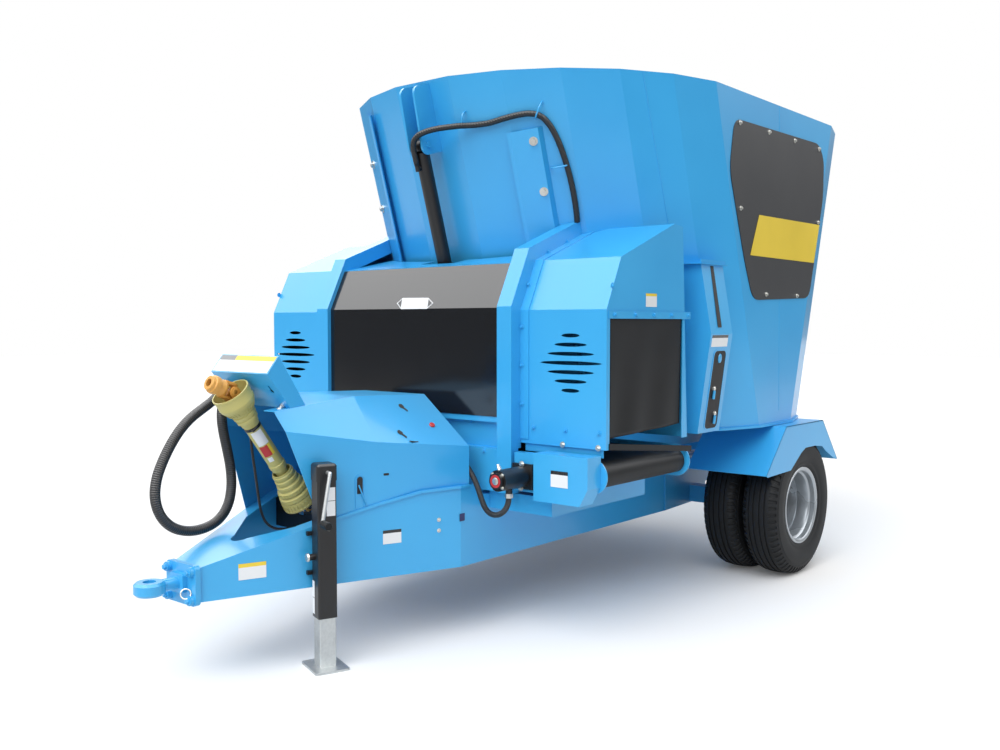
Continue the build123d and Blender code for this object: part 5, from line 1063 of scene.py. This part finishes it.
shaded_cuts.append(cut_mark(arch_middle, z_way, cover_side, arch_line(13, -30, 20)))
show("shaded_cover_cuts", solids_mesh("shaded_cover_cuts", shaded_cuts), black_and_hole_shade, "wagon", "dark_plate")
outer, inner = arch_line(22, -92, 15), arch_line(17, -92, 15)
rim_parts = [
    cut_mark(arch_middle, z_way, cover_side, [outer[i], outer[i + 1], inner[i + 1], inner[i]], 0.0035)
    for i in range(len(outer) - 1)
]
show("arch_rim", solids_mesh("arch_rim", rim_parts), blue, "wagon", "blue_paint")
rod_foot, rod_head = Vector((0.3450, -1.5830, 0.6640)), Vector((0.3380, -1.6210, 0.7550))
rod_long, rod_radius = (rod_head - rod_foot).length, 0.0032
stay = turned_mesh("stay_rod", [(0, 0), (0, rod_radius), (rod_long, rod_radius), (rod_long, 0)], rod_foot,
                   (rod_head - rod_foot).normalized(), cover_side, 16)
show("stay_rod", stay, blue, "wagon", "blue_paint")
cap_at = Vector((0.3675, -1.1940, 0.9850))
cap_out = Vector((0.65, -0.07, 0.756)).normalized()
cap_profile = [(-0.001, 0), (-0.001, 0.0140), (0.006, 0.0135), (0.008, 0.0110), (0.008, 0)]
red_cap = turned_mesh("red_cap", cap_profile, cap_at, cap_out, cap_out.cross(x_way).normalized(), 24)
show("red_cap", red_cap, film_red, "wagon", "black_panel")


# Clips of the gate hose: bent steel wire that reaches over the hose, welded to the tub by one end
# and painted with it
def wire_mesh(name, spots, radius):
    """A round wire through its points, its ends closed."""
    curve = bpy.data.curves.new(name, "CURVE")
    curve.dimensions = "3D"
    line = curve.splines.new("NURBS")
    line.points.add(len(spots) - 1)
    for point, spot in zip(line.points, spots):
        point.co = (*spot, 1)
    line.order_u = 3
    line.use_endpoint_u = True
    line.resolution_u = 6
    curve.bevel_depth = radius
    curve.bevel_resolution = 2
    curve.use_fill_caps = True
    carrier = bpy.data.objects.new(name, curve)
    scene.collection.objects.link(carrier)
    evaluated = carrier.evaluated_get(bpy.context.evaluated_depsgraph_get())
    mesh = bpy.data.meshes.new_from_object(evaluated)
    bpy.data.objects.remove(carrier)
    bpy.data.curves.remove(curve)
    return mesh


clips = []
for foot, tip, out in (
    ((0.240, -0.816, 2.501), (0.223, -0.800, 2.425), (0.27, -0.92, -0.28)),
    ((0.607, -0.672, 2.522), (0.570, -0.673, 2.449), (0.49, -0.84, -0.25)),
    ((0.676, -0.544, 2.231), (0.598, -0.587, 2.218), (0.49, -0.84, -0.25)),
):
    foot, tip, out = Vector(foot), Vector(tip), Vector(out).normalized()
    clips.append(wire_mesh("clip", [
        foot - out * 0.002, foot + out * 0.020, foot.lerp(tip, 0.3) + out * 0.042,
        foot.lerp(tip, 0.8) + out * 0.040, tip + out * 0.022, tip + out * 0.004,
    ], 0.0042))
show("hose_clips", joined("hose_clips", clips, 60), blue, "wagon", "blue_paint")

# Weld beads of the tub: raised lines of weld under the paint, where its bent sheets meet on the
# front corners and the sides
beads = []
for side in (1, -1):
    beads.append(wire_mesh("bead", [(side * 0.9725, -0.3535, 2.662), (side * 0.9735, -0.3155, 2.542),
                                    (side * 0.9835, -0.1235, 1.962), (side * 0.9900, 0.0200, 1.500)], 0.0022))
    beads.append(wire_mesh("bead", [(side * 1.1421, 0.800, 2.664), (side * 1.1421, 0.834, 1.581),
                                    (side * 1.1421, 0.846, 0.960)], 0.0018))
show("tub_beads", joined("tub_beads", beads, 60), blue, "wagon", "blue_paint")


# Side plates: dark painted sheet with rounded corners, bolted flat on the tub's sides, close under
# the rim
def eased(points, radius):
    """The outline with each corner cut to a smooth bend."""
    bends, steps = [], 5
    for before, corner, after in zip(points[-1:] + points[:-1], points, points[1:] + points[:1]):
        before, corner, after = (Vector((*point, 0)) for point in (before, corner, after))
        reach = min(radius, (before - corner).length / 2.2, (after - corner).length / 2.2)
        start = corner + (before - corner).normalized() * reach
        end = corner + (after - corner).normalized() * reach
        for k in range(steps + 1):
            t = k / steps
            bend = start * (1 - t) ** 2 + corner * (2 * t * (1 - t)) + end * t ** 2
            bends.append((bend.x, bend.y))
    return bends


plate_corners = [
    (0.2585, 2.518), (1.3465, 2.532), (1.4255, 2.447), (1.4205, 2.212), (1.2345, 1.608), (0.4935, 1.583),
    (0.3865, 1.798), (0.2105, 2.251),
]
plate_outline = eased(plate_corners, 0.070)
sheets = [([(side * 1.1424, y, z) for y, z in plate_outline], (side * 0.0050, 0, 0)) for side in (1, -1)]
show("rounded_side_plates", solids_mesh("side_plates", sheets, 0.0008), dark_satin, "wagon", "dark_plate",
     "side_plates")

# Knife boxes: a folded cap on each, the opening of the lower window as a dull black plate of painted
# shade with its welded edge, its oval boss and two grease couplings, a narrow cut above drawn the same
# way, and a bare label at the left box's fold
cap_steps = (
    # inner x, outer x, front y, rear y, foot, height
    (1.030, 1.168, -0.112, 0.158, 1.7505, 0.006), (1.150, 1.158, -0.104, 0.150, 1.756, 0.018),
)
window_foot = Vector((1.140, 0, 0.906))
low_up = (Vector((1.210, 0, 1.405)) - window_foot).normalized()
low_out = Vector((low_up.z, 0, -low_up.x))
high_out = Vector((0.985, 0, 0.171))
window = eased([(-0.030, 0.020), (0.098, 0.020), (0.092, 0.418), (-0.030, 0.418)], 0.030)
ring = eased([(-0.036, 0.014), (0.104, 0.014), (0.098, 0.424), (-0.036, 0.424)], 0.034)
slit_corners = [
    (1.1500, 0.002, 1.745), (1.1500, 0.034, 1.745), (1.2056, 0.024, 1.437), (1.2056, -0.014, 1.437),
]
boss_profile = [(0, 0), (0, 0.016), (0.005, 0.0145), (0.007, 0.010), (0.007, 0)]
head_profile = [(0, 0), (0, 0.011), (0.008, 0.011), (0.011, 0.007), (0.011, 0)]
body_profile = [(-0.052, 0), (-0.052, 0.007), (-0.010, 0.007), (-0.010, 0)]


def on_window(y, rise):
    """A point on the left box's lower face, by its Y and its height up the slope."""
    return window_foot + low_out * 0.0005 + low_up * rise + y_way * y


for side, hand in ((1, "left"), (-1, "right")):
    mirror = Vector((side, 1, 1))
    facing = low_out * mirror
    steps = [
        ([(side * x1, y1, z), (side * x2, y1, z), (side * x2, y2, z), (side * x1, y2, z)], (0, 0, tall))
        for x1, x2, y1, y2, z, tall in cap_steps
    ]
    show("box_cap_" + hand, solids_mesh("box_cap", steps, 0.001), blue, "wagon", "blue_paint")
    # The window's opening: a dull black plate, painted shade for the hollow of the box behind it
    opening = [on_window(y, z) * mirror for y, z in window]
    mesh = solids_mesh("box_opening", [(opening, facing * 0.0008)])
    show("box_opening_" + hand, mesh, black_and_hole_shade, "wagon", "dark_plate")
    edge = []
    for i in range(len(ring)):
        j = (i + 1) % len(ring)
        spots = [on_window(y, z) * mirror for y, z in (ring[i], ring[j], window[j], window[i])]
        edge.append((spots, facing * 0.0020))
    show("box_edge_" + hand, solids_mesh("box_edge", edge), blue, "wagon", "blue_paint")
    # The cut above: a dull black plate too, painted shade
    slit = [(Vector(corner) + high_out * 0.0014) * mirror for corner in slit_corners]
    mesh = solids_mesh("box_slit", [(slit, high_out * mirror * 0.0008)])
    show("box_slit_" + hand, mesh, black_and_hole_shade, "wagon", "dark_plate")
    boss_at = on_window(0.032, 0.380) * mirror
    boss = turned_mesh("oval_boss", boss_profile, boss_at, facing, y_way, 28)
    stretched = Matrix.Diagonal((1, 1, 1.55, 1))
    boss.transform(Matrix.Translation(boss_at) @ stretched @ Matrix.Translation(-boss_at))
    show("oval_boss_" + hand, boss, blue, "wagon", "blue_paint")
    heads, bodies = [], []
    for y, rise in ((0.010, 0.226), (0.052, 0.096)):
        head_at = on_window(y, rise) * mirror
        body_at = head_at + facing * 0.0085
        heads.append(turned_mesh("coupling_head", head_profile, head_at, facing, y_way, 20))
        bodies.append(turned_mesh("coupling_body", body_profile, body_at, low_up * mirror, y_way, 12))
    show("box_couplings_" + hand, joined("couplings", heads), bolt_zinc, "wagon", "zinc_steel")
    show("coupling_bodies_" + hand, joined("coupling_bodies", bodies), blue, "wagon", "blue_paint")
label("box_label", [(1.2085, -0.072, 1.399), (1.2085, 0.094, 1.399), (1.2005, 0.094, 1.341),
                    (1.2005, -0.072, 1.341)], headed(0.24, black_gloss))

# Flange strips of the drawbar: flat steel welded along each upper edge, where the cover stands, and
# painted with it
edge_line = [
    # x, distance ahead of the axle, height
    (0.27326, 2.780, 0.606), (0.35770, 2.548, 0.662), (0.42976, 2.350, 0.700), (0.49850, 2.161, 0.706),
    (0.50000, 2.105, 0.706),
]
strips = []
for side in (1, -1):
    for (x1, d1, z1), (x2, d2, z2) in zip(edge_line, edge_line[1:]):
        strips.append(([
            (side * (x1 + 0.0004), axle - d1, z1 - 0.008), (side * (x2 + 0.0004), axle - d2, z2 - 0.008),
            (side * (x2 + 0.0004), axle - d2, z2 + 0.006), (side * (x1 + 0.0004), axle - d1, z1 + 0.006),
        ], (side * 0.009, 0, 0)))
show("flange_strips", solids_mesh("flange_strips", strips, 0.0015), blue, "wagon", "blue_paint")

# Axle hangers: a steel plate welded outside each rail, which carries the line of the frame's foot
# on to the axle
hanger_outline = [(-0.345, 0.334), (0.150, 0.352), (0.150, 0.640), (-0.345, 0.640)]
hangers = []
for side in (1, -1):
    outline = [(side * 0.5004, axle + y, z) for y, z in hanger_outline]
    hangers.append((outline, (side * 0.0080, 0, 0)))
show("axle_hangers", solids_mesh("hangers", hangers, 0.0015), blue, "wagon", "blue_paint")

# Plate on the front panel: bare white sheet on the sloping face, pointed at both ends, with a dark
# field in each point
panel_out = Vector((0, -0.90, 0.43)).normalized()
plate = [Vector(point) for point in (
    (-0.099, -0.962, 1.559), (-0.069, -0.949, 1.586), (0.112, -0.950, 1.584), (0.158, -0.963, 1.557),
    (0.128, -0.976, 1.529), (-0.054, -0.976, 1.529),
)]
mesh = solids_mesh("arrow_plate", [(plate, panel_out * 0.0010)])
show("arrow_plate", mesh, film_white, "wagon", "black_panel")
fields = []
for tip, left, right in ((0, 5, 1), (3, 2, 4)):
    base = (plate[left] + plate[right]) / 2
    centre = base.lerp(plate[tip], 0.30)
    corners = [centre + (plate[corner] - centre) * 0.72 for corner in (tip, left, right)]
    fields.append(([corner + panel_out * 0.0012 for corner in corners], panel_out * 0.0005))
show("arrow_fields", solids_mesh("arrow_fields", fields), dark_satin, "wagon", "black_panel")

# Gate hose: black hose from the gate's cylinder down the tub's front, held by the wire clips, in a
# ribbed sleeve that fills it out to 29 mm
sleeve_black = sprayed_paint("ribbed_sleeve", (0.010, 0.011, 0.013), (0.007, 0.008, 0.009), 0.40, 0.0)
sleeve_tree = sleeve_black.node_tree
where = shader_node(sleeve_tree, "ShaderNodeTexCoord")
ribs = shader_node(sleeve_tree, "ShaderNodeTexWave", {"Scale": 32}, bands_direction="DIAGONAL")
sleeve_tree.links.new(where.outputs["Object"], ribs.inputs["Vector"])
raised(sleeve_tree, ribs.outputs["Fac"], 0.7, 0.0015)
sleeve = bmesh.new()
sleeve.from_mesh(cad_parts["gate_hose"].data)
bmesh.ops.remove_doubles(sleeve, verts=sleeve.verts, dist=0.00001)
sleeve.normal_update()
for vertex, way in [(vertex, vertex.normal.copy()) for vertex in sleeve.verts]:
    vertex.co += way * 0.0045
mesh = bpy.data.meshes.new("sleeve")
sleeve.to_mesh(mesh)
sleeve.free()
mesh.shade_smooth()
show("sleeved_gate_hose", mesh, sleeve_black, "wagon", "hose_rubber", "gate_hose")
